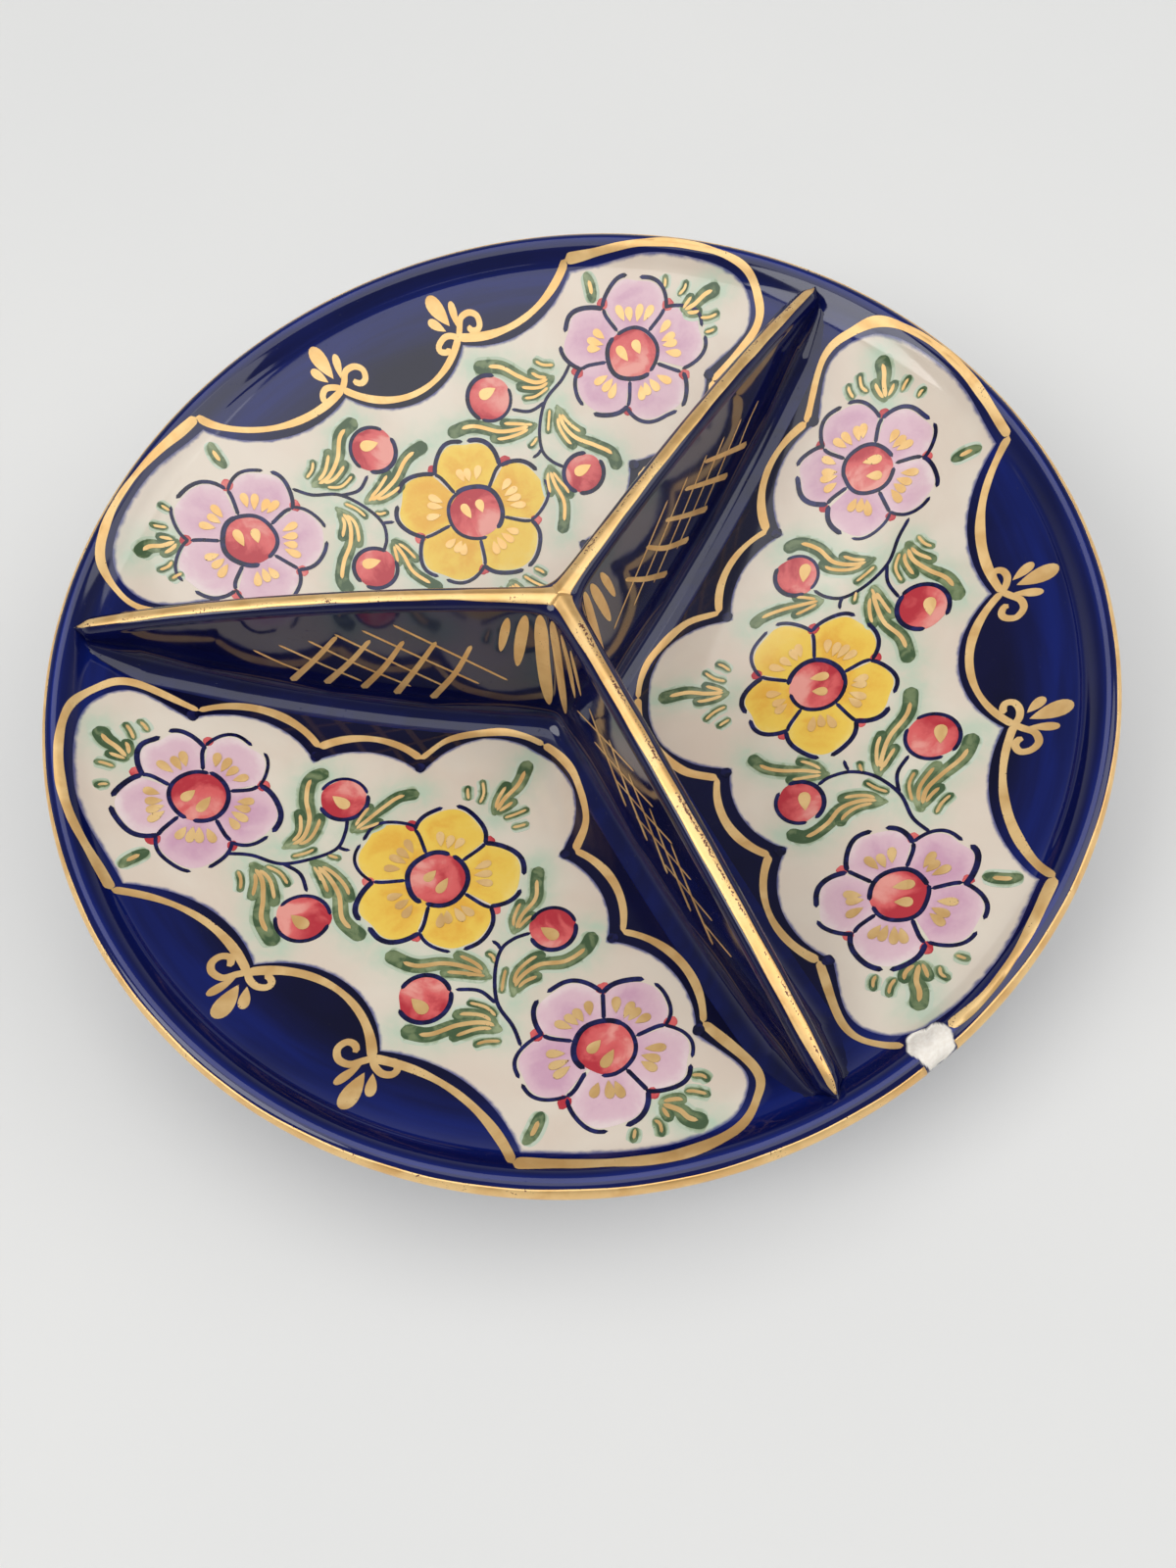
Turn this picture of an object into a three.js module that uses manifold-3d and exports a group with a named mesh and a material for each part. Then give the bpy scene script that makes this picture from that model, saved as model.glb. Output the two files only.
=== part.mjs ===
// Round bonbon dish in glazed earthenware: a shallow bowl on a turned foot ring, parted into three
// compartments by upright walls that meet in the middle, with gilding on the lip and on the crests.
// Millimetres, +Z up. The origin is the centre of the foot ring, on the table.

import * as THREE from 'three';
import { mergeVertices } from 'three/addons/utils/BufferGeometryUtils.js';
import Module from 'manifold-3d';

const wasm = await Module();
wasm.setup();

// Driving dimensions of the bowl
const rimDiameter = 240; // over the gilded lip
const bowlDepth = 34.5; // from the top of the lip to the lowest point inside
const wallThickness = 5; // of the bowl
const lipBandWidth = 7.6; // the raised band inside the rim, up to the rim's edge
const lipEdgeRadius = 2.4; // rounding of the rim's edge
const lipBandSwell = 0.55; // share of the band where its rise bends over to the level top

// Driving dimensions of the foot ring
const footDiameter = 112; // over the face that rests on the table
const footWidth = 5; // of that face
const footFlare = 1.2; // by which each side of the ring widens towards the bowl
const footChamfer = 0.8; // at the edges of that face
const footClearance = 5; // from the table to the bowl's underside, at the middle

// Driving dimensions of the dividers
const hubRise = 15; // crest above the lip, where the three dividers meet
const crestEndInset = 5; // from the rim's edge to a divider's outer end
const crestFallPower = 2.3; // how late the crest starts to fall towards the rim
const crestThickness = 4.4; // of a divider just under its rounded crest
const faceDraft = 0.055; // by which each face leans out, for each millimetre down
const footFillet = 6.5; // between a divider's face and the bowl
const filletShare = 0.45; // of a divider's height that its fillet takes at most
const toeThickness = 0.5; // of the fillet's outer edge
const noseLength = 5; // the rounded outer end of a divider
const noseShare = 0.96; // of that end that is solid, before it thins to nothing

// Driving dimensions of the gilding
const gildThickness = 0.3; // of the gilt skins
const gildSkirt = 1.2; // the rim's gilding below the rounded edge, on the outside
const rimGildAngle = 70; // degrees above level where the rim's gilding starts
const crestGildAngle = 62; // degrees to each side of a crest's top that are gilded
const crestGildEndAngle = 24; // the same at the outer tip, where the gilding narrows
const crestGildTaper = 16; // length over which it narrows
const crestGildEndInset = 7.5; // from the rim's edge to the tip of the gilding

// Clearances
const luteSeam = 0.3; // seam of slip between the clay pieces
const gildSeam = 0.3; // between a gilt skin and the clay under it

// Fineness of the curves
const turnSteps = 60; // steps in a full turn, a multiple of six so that the dividers sit alike
const sphereSteps = 10;
const lipSteps = 4;
const wallStations = 12;
const filletSteps = 3;
const crestSteps = 4;

const rimRadius = rimDiameter / 2;
const gildStand = gildSeam + gildThickness;
const clayRimRadius = rimRadius - gildStand;
const floorHeight = footClearance + wallThickness;
const rimHeight = floorHeight + bowlDepth;
const clayRimHeight = rimHeight - gildStand;
const innerRadius = (rimRadius ** 2 + bowlDepth ** 2) / (2 * bowlDepth);
const sphereHeight = floorHeight + innerRadius;
const creaseRadius = rimRadius - lipBandWidth;
const edgeCentre = new THREE.Vector2(clayRimRadius - lipEdgeRadius, clayRimHeight - lipEdgeRadius);

// Height of a sphere about the bowl's own centre, at a distance from the axis.
const sphereAt = (radius, distance) => sphereHeight - Math.sqrt(radius ** 2 - distance ** 2);
const insideAt = (distance) => sphereAt(innerRadius, distance);
const outsideAt = (distance) => sphereAt(innerRadius + wallThickness, distance);

// Evenly spaced values from the first to the last, both included.
const spread = (first, last, steps) =>
  Array.from({ length: steps + 1 }, (_, i) => first + ((last - first) * i) / steps);

// Points of a circular arc, angles in degrees.
const arcPoints = (centre, radius, from, to, steps) =>
  spread(from, to, steps).map((degrees) => {
    const angle = THREE.MathUtils.degToRad(degrees);
    return new THREE.Vector2(centre.x + radius * Math.cos(angle), centre.y + radius * Math.sin(angle));
  });

// A solid of revolution about +Z from a profile of distances and heights.
const turned = (profile) => {
  const geometry = new THREE.LatheGeometry(profile, turnSteps);
  return geometry.rotateX(Math.PI / 2);
};

// The bowl's inner surface from the axis to the top of the lip, raised off the clay by a seam.
const innerProfile = (seam) => {
  const bowl = spread(0, creaseRadius, sphereSteps).map(
    (distance) => new THREE.Vector2(distance, sphereAt(innerRadius - seam, distance)),
  );
  const crease = bowl[bowl.length - 1];
  const top = new THREE.Vector2(edgeCentre.x - seam, clayRimHeight + seam);
  const bend = new THREE.Vector2(THREE.MathUtils.lerp(crease.x, top.x, lipBandSwell), top.y);
  const band = new THREE.QuadraticBezierCurve(crease, bend, top).getPoints(lipSteps);
  return [...bowl, ...band.slice(1)];
};

// Bowl: underside from the axis outwards, under the lip, round the edge, and back over the inside.
const bowlGeometry = () => {
  const underside = spread(0, creaseRadius, sphereSteps).map(
    (distance) => new THREE.Vector2(distance, outsideAt(distance)),
  );
  const underLipStart = underside[underside.length - 1];
  const edgeStart = new THREE.Vector2(clayRimRadius, edgeCentre.y);
  const slope = creaseRadius / (sphereHeight - underLipStart.y);
  const bend = new THREE.Vector2(clayRimRadius, underLipStart.y + slope * (clayRimRadius - creaseRadius));
  const underLip = new THREE.QuadraticBezierCurve(underLipStart, bend, edgeStart).getPoints(lipSteps);
  const edge = arcPoints(edgeCentre, lipEdgeRadius, 0, 90, lipSteps);
  const inside = innerProfile(0).reverse();
  return turned([...underside, ...underLip.slice(1), ...edge.slice(1), ...inside.slice(1)]);
};

// Foot ring: a flat, chamfered face below and a top that follows the bowl's underside.
const footGeometry = () => {
  const outer = footDiameter / 2;
  const inner = outer - footWidth;
  const seat = spread(outer + footFlare, inner - footFlare, lipSteps).map(
    (distance) => new THREE.Vector2(distance, sphereAt(innerRadius + wallThickness + luteSeam, distance)),
  );
  const profile = [
    new THREE.Vector2(inner + footChamfer, 0),
    new THREE.Vector2(outer - footChamfer, 0),
    new THREE.Vector2(outer, footChamfer),
    ...seat,
    new THREE.Vector2(inner, footChamfer),
    new THREE.Vector2(inner + footChamfer, 0),
  ];
  return turned(profile);
};

// Rim gilding: a thin skin round the outer half of the lip, with a short skirt below the edge.
const rimGildGeometry = () => {
  const under = lipEdgeRadius + gildSeam;
  const over = under + gildThickness;
  const skirt = edgeCentre.y - gildSkirt;
  const profile = [
    new THREE.Vector2(edgeCentre.x + under, skirt),
    new THREE.Vector2(edgeCentre.x + over, skirt),
    ...arcPoints(edgeCentre, over, 0, rimGildAngle, lipSteps),
    ...arcPoints(edgeCentre, under, rimGildAngle, 0, lipSteps),
    new THREE.Vector2(edgeCentre.x + under, skirt),
  ];
  return turned(profile);
};

// A closed skin over outlines that all have the same number of points, with a flat cap at each end.
const lofted = (outlines) => {
  const count = outlines[0].length;
  const positions = outlines.flat().flatMap((point) => [point.x, point.y, point.z]);
  const triangles = [];
  for (let station = 0; station + 1 < outlines.length; station += 1) {
    for (let i = 0; i < count; i += 1) {
      const here = station * count + i;
      const next = station * count + ((i + 1) % count);
      triangles.push(here, here + count, next, next, here + count, next + count);
    }
  }
  const cap = (outline, offset, flip) => {
    const flat = outline.map((point) => new THREE.Vector2(point.y, point.z));
    for (const [a, b, c] of THREE.ShapeUtils.triangulateShape(flat, [])) {
      triangles.push(...(flip ? [c, b, a] : [a, b, c]).map((i) => i + offset));
    }
  };
  cap(outlines[0], 0, true);
  cap(outlines[outlines.length - 1], (outlines.length - 1) * count, false);
  const geometry = new THREE.BufferGeometry();
  geometry.setAttribute('position', new THREE.Float32BufferAttribute(positions, 3));
  geometry.setIndex(triangles);
  return geometry;
};

// A solid that can be cut, from a closed geometry. Slivers that merging collapses are dropped.
const toSolid = (geometry) => {
  const bare = geometry.clone();
  bare.deleteAttribute('normal');
  bare.deleteAttribute('uv');
  const merged = mergeVertices(bare);
  const index = merged.index.array;
  const kept = [];
  for (let i = 0; i < index.length; i += 3) {
    const [a, b, c] = [index[i], index[i + 1], index[i + 2]];
    if (a !== b && b !== c && c !== a) {
      kept.push(a, b, c);
    }
  }
  const mesh = new wasm.Mesh({
    numProp: 3,
    vertProperties: new Float32Array(merged.attributes.position.array),
    triVerts: new Uint32Array(kept),
  });
  return new wasm.Manifold(mesh);
};

// The geometry of a cut solid.
const toGeometry = (solid) => {
  const mesh = solid.getMesh();
  const geometry = new THREE.BufferGeometry();
  geometry.setAttribute('position', new THREE.BufferAttribute(new Float32Array(mesh.vertProperties), 3));
  geometry.setIndex(new THREE.BufferAttribute(new Uint32Array(mesh.triVerts), 1));
  return geometry;
};

// Where the dividers stand: the name of each and the direction it runs in, in degrees.
const dividerPlaces = [
  ['left', 180],
  ['front_right', 300],
  ['back_right', 60],
];
const mitreAngle = Math.PI / dividerPlaces.length;
const headroom = hubRise * 2; // of the cutting solids above the crest

// The room above the bowl's inner surface, which the dividers' feet are cut to.
const cavitySolid = () => {
  const profile = innerProfile(luteSeam);
  const edge = profile[profile.length - 1];
  const ceiling = rimHeight + headroom;
  return toSolid(turned([...profile, new THREE.Vector2(edge.x, ceiling), new THREE.Vector2(0, ceiling)]));
};

// The sector that belongs to one divider, cut back by half a seam at each mitre.
const sectorSolid = () => {
  const tip = luteSeam / 2 / Math.sin(mitreAngle);
  const reach = rimDiameter;
  const shape = new THREE.Shape([
    new THREE.Vector2(tip, 0),
    new THREE.Vector2(tip + reach * Math.cos(mitreAngle), -reach * Math.sin(mitreAngle)),
    new THREE.Vector2(tip + reach * Math.cos(mitreAngle), reach * Math.sin(mitreAngle)),
  ]);
  const depth = rimHeight + headroom;
  return toSolid(new THREE.ExtrudeGeometry(shape, { depth, bevelEnabled: false }));
};

const crestEnd = rimRadius - crestEndInset;
const crestHalf = crestThickness / 2;

// Height of a divider's clay crest at a distance from the hub.
const crestAt = (distance) => {
  const fall = (Math.max(distance, 0) / crestEnd) ** crestFallPower;
  return clayRimHeight + hubRise * (1 - fall);
};

// One half of a divider's outline across, from the toe to the crest: offsets and heights over the bowl.
const halfOutline = (height, half) => {
  const toe = luteSeam + toeThickness;
  const fillet = Math.min(footFillet, filletShare * height);
  const shoulder = height - half;
  const widthAt = (level) => half + faceDraft * Math.max(shoulder - level, 0);
  const filletCentre = new THREE.Vector2(widthAt(toe + fillet) + fillet, toe + fillet);
  const foot = arcPoints(filletCentre, fillet, 270, 180, filletSteps);
  const crest = arcPoints(new THREE.Vector2(0, shoulder), half, 0, 90, crestSteps);
  return [new THREE.Vector2(foot[0].x, -toe), ...foot, ...crest];
};

// A divider along +X before it is cut: its foot dips under the bowl's surface.
const dividerBlank = () => {
  const noseStart = crestEnd - noseLength;
  const noseTip = noseStart + noseLength * noseShare;
  const straight = spread(-crestThickness, noseStart, wallStations);
  const nose = spread(noseStart, noseTip, crestSteps).slice(1);
  const outlines = [...straight, ...nose].map((x) => {
    const along = Math.max(x - noseStart, 0) / noseLength;
    const roundness = Math.sqrt(1 - along ** 2);
    const height = (crestAt(x) - insideAt(x)) * roundness;
    const side = halfOutline(height, crestHalf * roundness);
    const place = (offset, level) => new THREE.Vector3(x, offset, insideAt(Math.hypot(x, offset)) + level);
    const right = side.map((point) => place(-point.x, point.y));
    const left = side.slice(0, -1).reverse().map((point) => place(point.x, point.y));
    return [...right, ...left];
  });
  return toSolid(lofted(outlines));
};

// Crest gilding along +X before it is cut: a skin over the rounded crest that narrows at the rim.
const crestGildBlank = () => {
  const tip = rimRadius - crestGildEndInset;
  const taperStart = tip - crestGildTaper;
  const straight = spread(-crestThickness, taperStart, wallStations);
  const taper = spread(taperStart, tip, crestSteps).slice(1);
  const outlines = [...straight, ...taper].map((x) => {
    const along = Math.max(x - taperStart, 0) / crestGildTaper;
    const half = THREE.MathUtils.lerp(crestGildAngle, crestGildEndAngle, along);
    const centre = new THREE.Vector2(0, crestAt(x) - crestHalf);
    const under = crestHalf + gildSeam;
    const outer = arcPoints(centre, under + gildThickness, 90 + half, 90 - half, crestSteps);
    const inner = arcPoints(centre, under, 90 - half, 90 + half, crestSteps);
    return [...outer, ...inner].map((point) => new THREE.Vector3(x, point.x, point.y));
  });
  return toSolid(lofted(outlines));
};

const cobaltGlaze = { color: 0x1a1c58, roughness: 0.12, metalness: 0 };
const creamGlaze = { color: 0xe6ddcf, roughness: 0.35, metalness: 0 };
const brightGold = { color: 0xd8a658, roughness: 0.28, metalness: 1 };

const dish = new THREE.Group();

// Adds a named piece with a material of its own.
const addPiece = (name, geometry, finish, degrees = 0) => {
  const piece = new THREE.Mesh(geometry, new THREE.MeshStandardMaterial(finish));
  piece.name = name;
  piece.rotation.z = THREE.MathUtils.degToRad(degrees);
  dish.add(piece);
};

addPiece('dish_body', bowlGeometry(), cobaltGlaze);
addPiece('foot_ring', footGeometry(), creamGlaze);
addPiece('rim_gilding', rimGildGeometry(), brightGold);

const sector = sectorSolid();
const divider = dividerBlank().intersect(cavitySolid()).intersect(sector);
const crestGild = crestGildBlank().intersect(sector);
for (const [place, degrees] of dividerPlaces) {
  addPiece(`divider_${place}`, toGeometry(divider), cobaltGlaze, degrees);
  addPiece(`crest_gilding_${place}`, toGeometry(crestGild), brightGold, degrees);
}

export default dish;
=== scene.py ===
# %% [markdown]
# # A painted and gilded bonbon dish
# The real dish is a shallow earthenware bowl, parted into three compartments by upright walls. It was
# painted by hand on a cobalt ground, glazed, and gilded last. This lesson dresses the construction
# model: each piece stays where the construction has it, and gets its fired, painted and gilded surface.

# %% Load the construction frame
import math
import random

import bpy
import numpy as np
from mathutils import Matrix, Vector, geometry


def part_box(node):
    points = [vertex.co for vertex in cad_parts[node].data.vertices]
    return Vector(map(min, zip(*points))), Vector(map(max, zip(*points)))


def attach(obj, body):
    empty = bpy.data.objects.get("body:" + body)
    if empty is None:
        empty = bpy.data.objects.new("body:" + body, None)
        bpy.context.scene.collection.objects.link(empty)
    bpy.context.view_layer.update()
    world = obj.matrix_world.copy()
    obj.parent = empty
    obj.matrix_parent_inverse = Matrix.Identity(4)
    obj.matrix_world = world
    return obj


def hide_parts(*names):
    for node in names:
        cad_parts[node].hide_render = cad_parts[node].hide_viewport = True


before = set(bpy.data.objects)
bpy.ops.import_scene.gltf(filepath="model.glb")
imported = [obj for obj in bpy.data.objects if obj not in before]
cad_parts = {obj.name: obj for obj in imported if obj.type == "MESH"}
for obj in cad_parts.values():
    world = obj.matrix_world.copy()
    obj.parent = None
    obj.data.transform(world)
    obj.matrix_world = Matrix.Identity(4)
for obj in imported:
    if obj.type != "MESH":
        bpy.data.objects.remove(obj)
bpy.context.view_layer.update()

print("construction nodes:", ", ".join(sorted(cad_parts)))

# %% [markdown]
# ## The camera
# The photograph was taken by hand from above, with a phone's wide lens, so the near rim looks larger
# than the far one. The rim is a true circle and the three dividers stand at 120 degrees, and those two
# facts are enough to find the lens and the place of the camera. The camera comes first, so that every
# later step can be compared with the photograph.

# %% Camera
MM = 0.001  # the shapes below are in millimetres, and the scene is in metres
PHOTO_HEIGHT = 1600  # pixels, the long side that the lens is fitted to
FOCAL_PIXELS = 1190
CAMERA_PLACE = Vector((28.74, -129.56, 271.05))
CAMERA_TURN = (22.34, 4.242, 2.96)  # degrees about X, Y and Z


def add_object(name, data):
    """An object in the scene that shows a mesh, a lamp or a camera."""
    item = bpy.data.objects.new(name, data)
    bpy.context.scene.collection.objects.link(item)
    return item


camera_data = bpy.data.cameras.new("photo_camera")
camera_data.lens = camera_data.sensor_width * FOCAL_PIXELS / PHOTO_HEIGHT
camera = add_object("photo_camera", camera_data)
camera.location = CAMERA_PLACE * MM
camera.rotation_euler = [math.radians(angle) for angle in CAMERA_TURN]
bpy.context.scene.camera = camera
print("lens of", round(camera_data.lens, 2), "mm")

# %% [markdown]
# ## Measures
# The frame gives the outer sizes. What it can't give, such as the rounding of the lip, is repeated here
# from the construction as a few named sizes. The construction keeps thin seams between clay and gold so
# that its solids never overlap. On the fired dish there are none, so the glaze here fills them and the
# gold lies right on it.

# %% Measures of the bowl
def node_box(node):
    """Lowest and highest corner of a construction node, in millimetres."""
    low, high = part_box(node)
    return low / MM, high / MM


clay_low, clay_high = node_box("dish_body")
_, gilt_high = node_box("rim_gilding")
_, crest_high = node_box("crest_gilding_left")

WALL = 5.0  # thickness of the bowl
LIP_BAND = 7.6  # the raised band inside the rim
LIP_SWELL = 0.55  # share of the band where its rise bends over
LIP_EDGE = 2.4  # rounding of the clay at the rim
CREASE_FILL = 1.5  # how widely glaze fills the hollow where the band begins
GILT_FILM = 0.12  # by which gold stands proud of the glaze

rim_radius = gilt_high.x
seam = rim_radius - clay_high.x
glaze_stand = seam - GILT_FILM
rim_height = clay_high.z + seam
floor_height = clay_low.z + WALL
bowl_depth = rim_height - floor_height
inner_radius = (rim_radius**2 + bowl_depth**2) / (2 * bowl_depth)
sphere_height = floor_height + inner_radius
crease_radius = rim_radius - LIP_BAND
edge_radius = LIP_EDGE + glaze_stand
edge_middle = np.array([clay_high.x - LIP_EDGE, clay_high.z - LIP_EDGE])
lip_top = edge_middle[1] + edge_radius
print(f"rim {2 * rim_radius:.1f} mm wide, bowl {bowl_depth:.1f} mm deep, radius {inner_radius:.1f} mm")

# %% [markdown]
# ## The surface that everything lies on
# Paint and gold follow the pottery, so the pottery is written as formulas first: the inside of the bowl
# as a height over the distance from the axis, and the side of a divider as a section that runs over the
# crest, down the face and out along the fillet. The same formulas then make the meshes and lay every
# brush stroke, and nothing has to be snapped or projected afterwards.

# %% Height of the bowl's inner surface
def inside_height(distance):
    """Height of the bowl's inside at a distance from the axis, out to the top of the lip."""
    width = edge_middle[0] - crease_radius
    over = distance - crease_radius
    over = np.minimum((over + np.sqrt(over**2 + CREASE_FILL**2)) / 2, width)
    bowl = sphere_height - np.sqrt(inner_radius**2 - (distance - over) ** 2)
    crease = sphere_height - math.sqrt(inner_radius**2 - crease_radius**2)
    past = over / width
    bend = 1 - 2 * LIP_SWELL
    share = (np.sqrt(LIP_SWELL**2 + bend * past) - LIP_SWELL) / bend
    return bowl + (lip_top - crease) * (1 - (1 - share) ** 2)


def outside_height(distance):
    """Height of the bowl's underside at a distance from the axis."""
    return sphere_height - np.sqrt((inner_radius + WALL) ** 2 - distance**2)


print(f"crease of the lip band at {crease_radius:.1f} mm, {inside_height(crease_radius):.1f} mm high")

# %% Section of a divider
NOSE_LENGTH = 5.0  # the rounded outer end
CREST_INSET = 5.0  # from the rim's edge to that end
CREST_FALL = 2.3  # how late the crest starts to fall towards the rim
CREST_HALF = 2.2  # half the thickness of the clay under the crest
FACE_DRAFT = 0.055  # by which a face leans out for each millimetre down
FOOT_FILLET = 6.5
FILLET_SHARE = 0.45  # of the height that the fillet takes at most
CORNER_ROUND = 3.0  # hollow rounding where two dividers meet
SIN60 = math.sqrt(0.75)
COS60 = 0.5
NOSE_LIMIT = 0.995  # the nose ends just short of its tip, so that it never closes to a line

crest_end = rim_radius - CREST_INSET
nose_start = crest_end - NOSE_LENGTH
hub_rise = crest_high.z - rim_height
crest_half = CREST_HALF + glaze_stand


def crest_height(along):
    """Height of the glazed crest at a distance from the hub."""
    fall = (np.clip(along, 0, crest_end) / crest_end) ** CREST_FALL
    return lip_top + hub_rise * (1 - fall)


def wall_section(along, row):
    """Half width and level over the bowl. Row 0 to 1 is the crest, to 2 the face and to 3 the fillet."""
    nose = np.clip((along - nose_start) / NOSE_LENGTH, 0, NOSE_LIMIT)
    roundness = np.sqrt(1 - nose**2)
    height = (crest_height(along) - inside_height(along)) * roundness
    half = np.minimum(crest_half * roundness, (1 - FILLET_SHARE) * height)
    fillet = np.minimum(FOOT_FILLET, FILLET_SHARE * height)
    shoulder = height - half
    face = np.maximum(shoulder - fillet, 0)
    crest_angle = np.clip(row, 0, 1) * math.pi / 2
    down = np.clip(row - 1, 0, 1) * face
    foot_angle = np.maximum(row - 2, 0) * math.pi / 2
    width = half * np.sin(crest_angle) + FACE_DRAFT * down + fillet * (1 - np.cos(foot_angle))
    level = shoulder + half * np.cos(crest_angle) - down - fillet * np.sin(foot_angle)
    return width, level


print(f"crest {crest_height(0):.1f} mm high at the hub and {crest_height(crest_end):.1f} mm at the rim")

# %% A point and a normal on a divider's side
MITRE_ACROSS = np.array([SIN60, -COS60, 0])  # square to the plane where two dividers meet
NUDGE = 0.02
TINY = 1e-9  # keeps a direction from vanishing
POINT_ROUNDS = 6  # in which a guessed place settles
REACH_ROUNDS = 12


def wall_point(reach, row):
    """A point of a divider's left side in the divider's own frame: along it, off its middle and up.

    Reach is the distance from the mitre plane, where the next divider begins.
    """
    corner = CORNER_ROUND * np.clip(row, 0, 1)
    pulled = np.sqrt(reach**2 + corner**2)
    along = reach / SIN60
    for _ in range(POINT_ROUNDS):
        width, level = wall_section(along, row)
        middle = (width + COS60 * pulled) / SIN60
        along = middle * COS60 + reach * SIN60
    off = middle * SIN60 - reach * COS60
    height = inside_height(np.hypot(along, off)) + level
    return np.stack(np.broadcast_arrays(along, off, height), -1)


def unit(vectors):
    """The same directions with a length of 1."""
    return vectors / np.linalg.norm(vectors, axis=-1, keepdims=True)


def wall_normal(reach, row):
    """Outward direction of a divider's left side, smooth across the crest and the mitre."""
    forward = wall_point(reach + NUDGE, row) - wall_point(np.abs(reach - NUDGE), row)
    downward = wall_point(reach, row + NUDGE) - wall_point(reach, np.abs(row - NUDGE))
    forward = forward + TINY * MITRE_ACROSS
    downward = downward + TINY * np.array([0, 1, 0])
    return unit(np.cross(forward, downward))


def wall_reach(along, row):
    """The reach of the side's point that lies a given way along the divider."""
    corner = CORNER_ROUND * np.clip(row, 0, 1)
    width, _ = wall_section(along, row)
    reach = np.maximum(along, 0) * SIN60
    for _ in range(REACH_ROUNDS):
        middle = (width + COS60 * np.sqrt(reach**2 + corner**2)) / SIN60
        reach = np.maximum((along - middle * COS60) / SIN60, 0)
    return reach


print("fillet meets the bowl", wall_point(np.array(40.0), 3.0).round(1)[1], "mm off the divider's middle")

# %% [markdown]
# ## From points to pieces
# Each piece is a mesh made straight from points and faces. One helper builds it, gives it its finish,
# makes it ride on the dish and hides the construction nodes that it stands for. Extra values on the
# points, such as the distance from a stroke's edge, travel with the mesh as attributes, so that a finish
# can pool its colour along an edge. Normals come from the formulas, so that the gloss runs on unbroken
# from one piece to the next.

# %% Helpers that make a piece
def make_piece(name, points, faces, material, nodes=(), normals=None, marks=None):
    """Builds a piece from points in millimetres and lets it ride on the dish."""
    mesh = bpy.data.meshes.new(name)
    mesh.from_pydata((np.asarray(points) * MM).tolist(), [], [list(face) for face in faces])
    mesh.materials.append(material)
    mesh.shade_smooth()
    for mark, values in (marks or {}).items():
        values = np.asarray(values, float)
        vector = values.ndim == 2
        layer = mesh.attributes.new(mark, "FLOAT_VECTOR" if vector else "FLOAT", "POINT")
        layer.data.foreach_set("vector" if vector else "value", values.ravel())
    mesh.update()
    if normals is not None:
        mesh.normals_split_custom_set_from_vertices(np.asarray(normals).tolist())
    piece = add_object(name, mesh)
    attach(piece, "root")
    if nodes:
        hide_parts(*nodes)
    print(f"{name}: {len(mesh.vertices)} points, {len(mesh.polygons)} faces")


def grid_faces(rows, columns, around=False):
    """Four-sided faces between the rows and columns of a grid of points."""
    row, column = np.meshgrid(np.arange(rows - 1), np.arange(columns - (not around)), indexing="ij")
    after = (column + 1) % columns
    first, second = row * columns, (row + 1) * columns
    corners = [first + column, first + after, second + after, second + column]
    return np.stack(corners, -1).reshape(-1, 4)


def strip_faces(first, second):
    """Four-sided faces between two runs of points."""
    return np.stack([first[:-1], first[1:], second[1:], second[:-1]], -1)


def turn_points(points, degrees):
    """Points turned about the dish's axis."""
    angle = math.radians(degrees)
    cos, sin = math.cos(angle), math.sin(angle)
    return np.asarray(points) @ np.array([[cos, sin, 0], [-sin, cos, 0], [0, 0, 1]])


def slab(top, bottom):
    """A closed slab between two grids of points, with the top's faces turned outwards."""
    rows, columns = top.shape[:2]
    points = np.concatenate([top.reshape(-1, 3), bottom.reshape(-1, 3)])
    index = np.arange(rows * columns).reshape(rows, columns)
    under = index + rows * columns
    faces = grid_faces(rows, columns)
    borders = [index[0, ::-1], index[-1, :], index[:, 0], index[::-1, -1]]
    skirts = [under[0, ::-1], under[-1, :], under[:, 0], under[::-1, -1]]
    edges = [strip_faces(border, skirt) for border, skirt in zip(borders, skirts)]
    return points, np.concatenate([faces, faces[:, ::-1] + rows * columns, *edges])


print("a grid of 3 by 4 points has", len(grid_faces(3, 4)), "faces")

# %% [markdown]
# ## Shader helpers
# A finish is a small network of nodes, and short helpers keep the recipes readable. The first ones place a
# node and join its inputs, start a material, mix two colours, and turn a colour as a paint chart gives it,
# in 0 to 255, into the linear values that Blender works with. The others make values that change over the
# surface.

# %% Helpers for nodes and colours
def join(node, inputs):
    """Gives a node's inputs their values, or links from other nodes."""
    for name, value in inputs.items():
        if isinstance(value, bpy.types.NodeSocket):
            node.id_data.links.new(value, node.inputs[name])
        else:
            node.inputs[name].default_value = value


def add_node(tree, kind, inputs=None, **settings):
    """Places a node and joins its inputs."""
    node = tree.nodes.new(kind)
    for name, value in settings.items():
        setattr(node, name, value)
    join(node, inputs or {})
    return node


def new_material(name):
    """A material, with its node tree and its shader."""
    material = bpy.data.materials.new(name)
    material.use_nodes = True
    tree = material.node_tree
    return material, tree, tree.nodes["Principled BSDF"]


def chart(red, green, blue):
    """A colour of 0 to 255 as Blender's linear red, green, blue and alpha."""
    values = [value / 255 for value in (red, green, blue)]
    return [v / 12.92 if v <= 0.04045 else ((v + 0.055) / 1.055) ** 2.4 for v in values] + [1.0]


def mix_colour(tree, factor, first, second):
    """The colour between two colours."""
    inputs = {0: factor, 6: first, 7: second}
    return add_node(tree, "ShaderNodeMix", inputs, data_type="RGBA").outputs[2]


print("a paint-chart white is", [round(value, 2) for value in chart(255, 255, 255)])

# %% Helpers for values
def sums(tree, operation, first, second, clamp=False):
    """One sum of two values."""
    inputs = {0: first, 1: second}
    return add_node(tree, "ShaderNodeMath", inputs, operation=operation, use_clamp=clamp).outputs[0]


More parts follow.
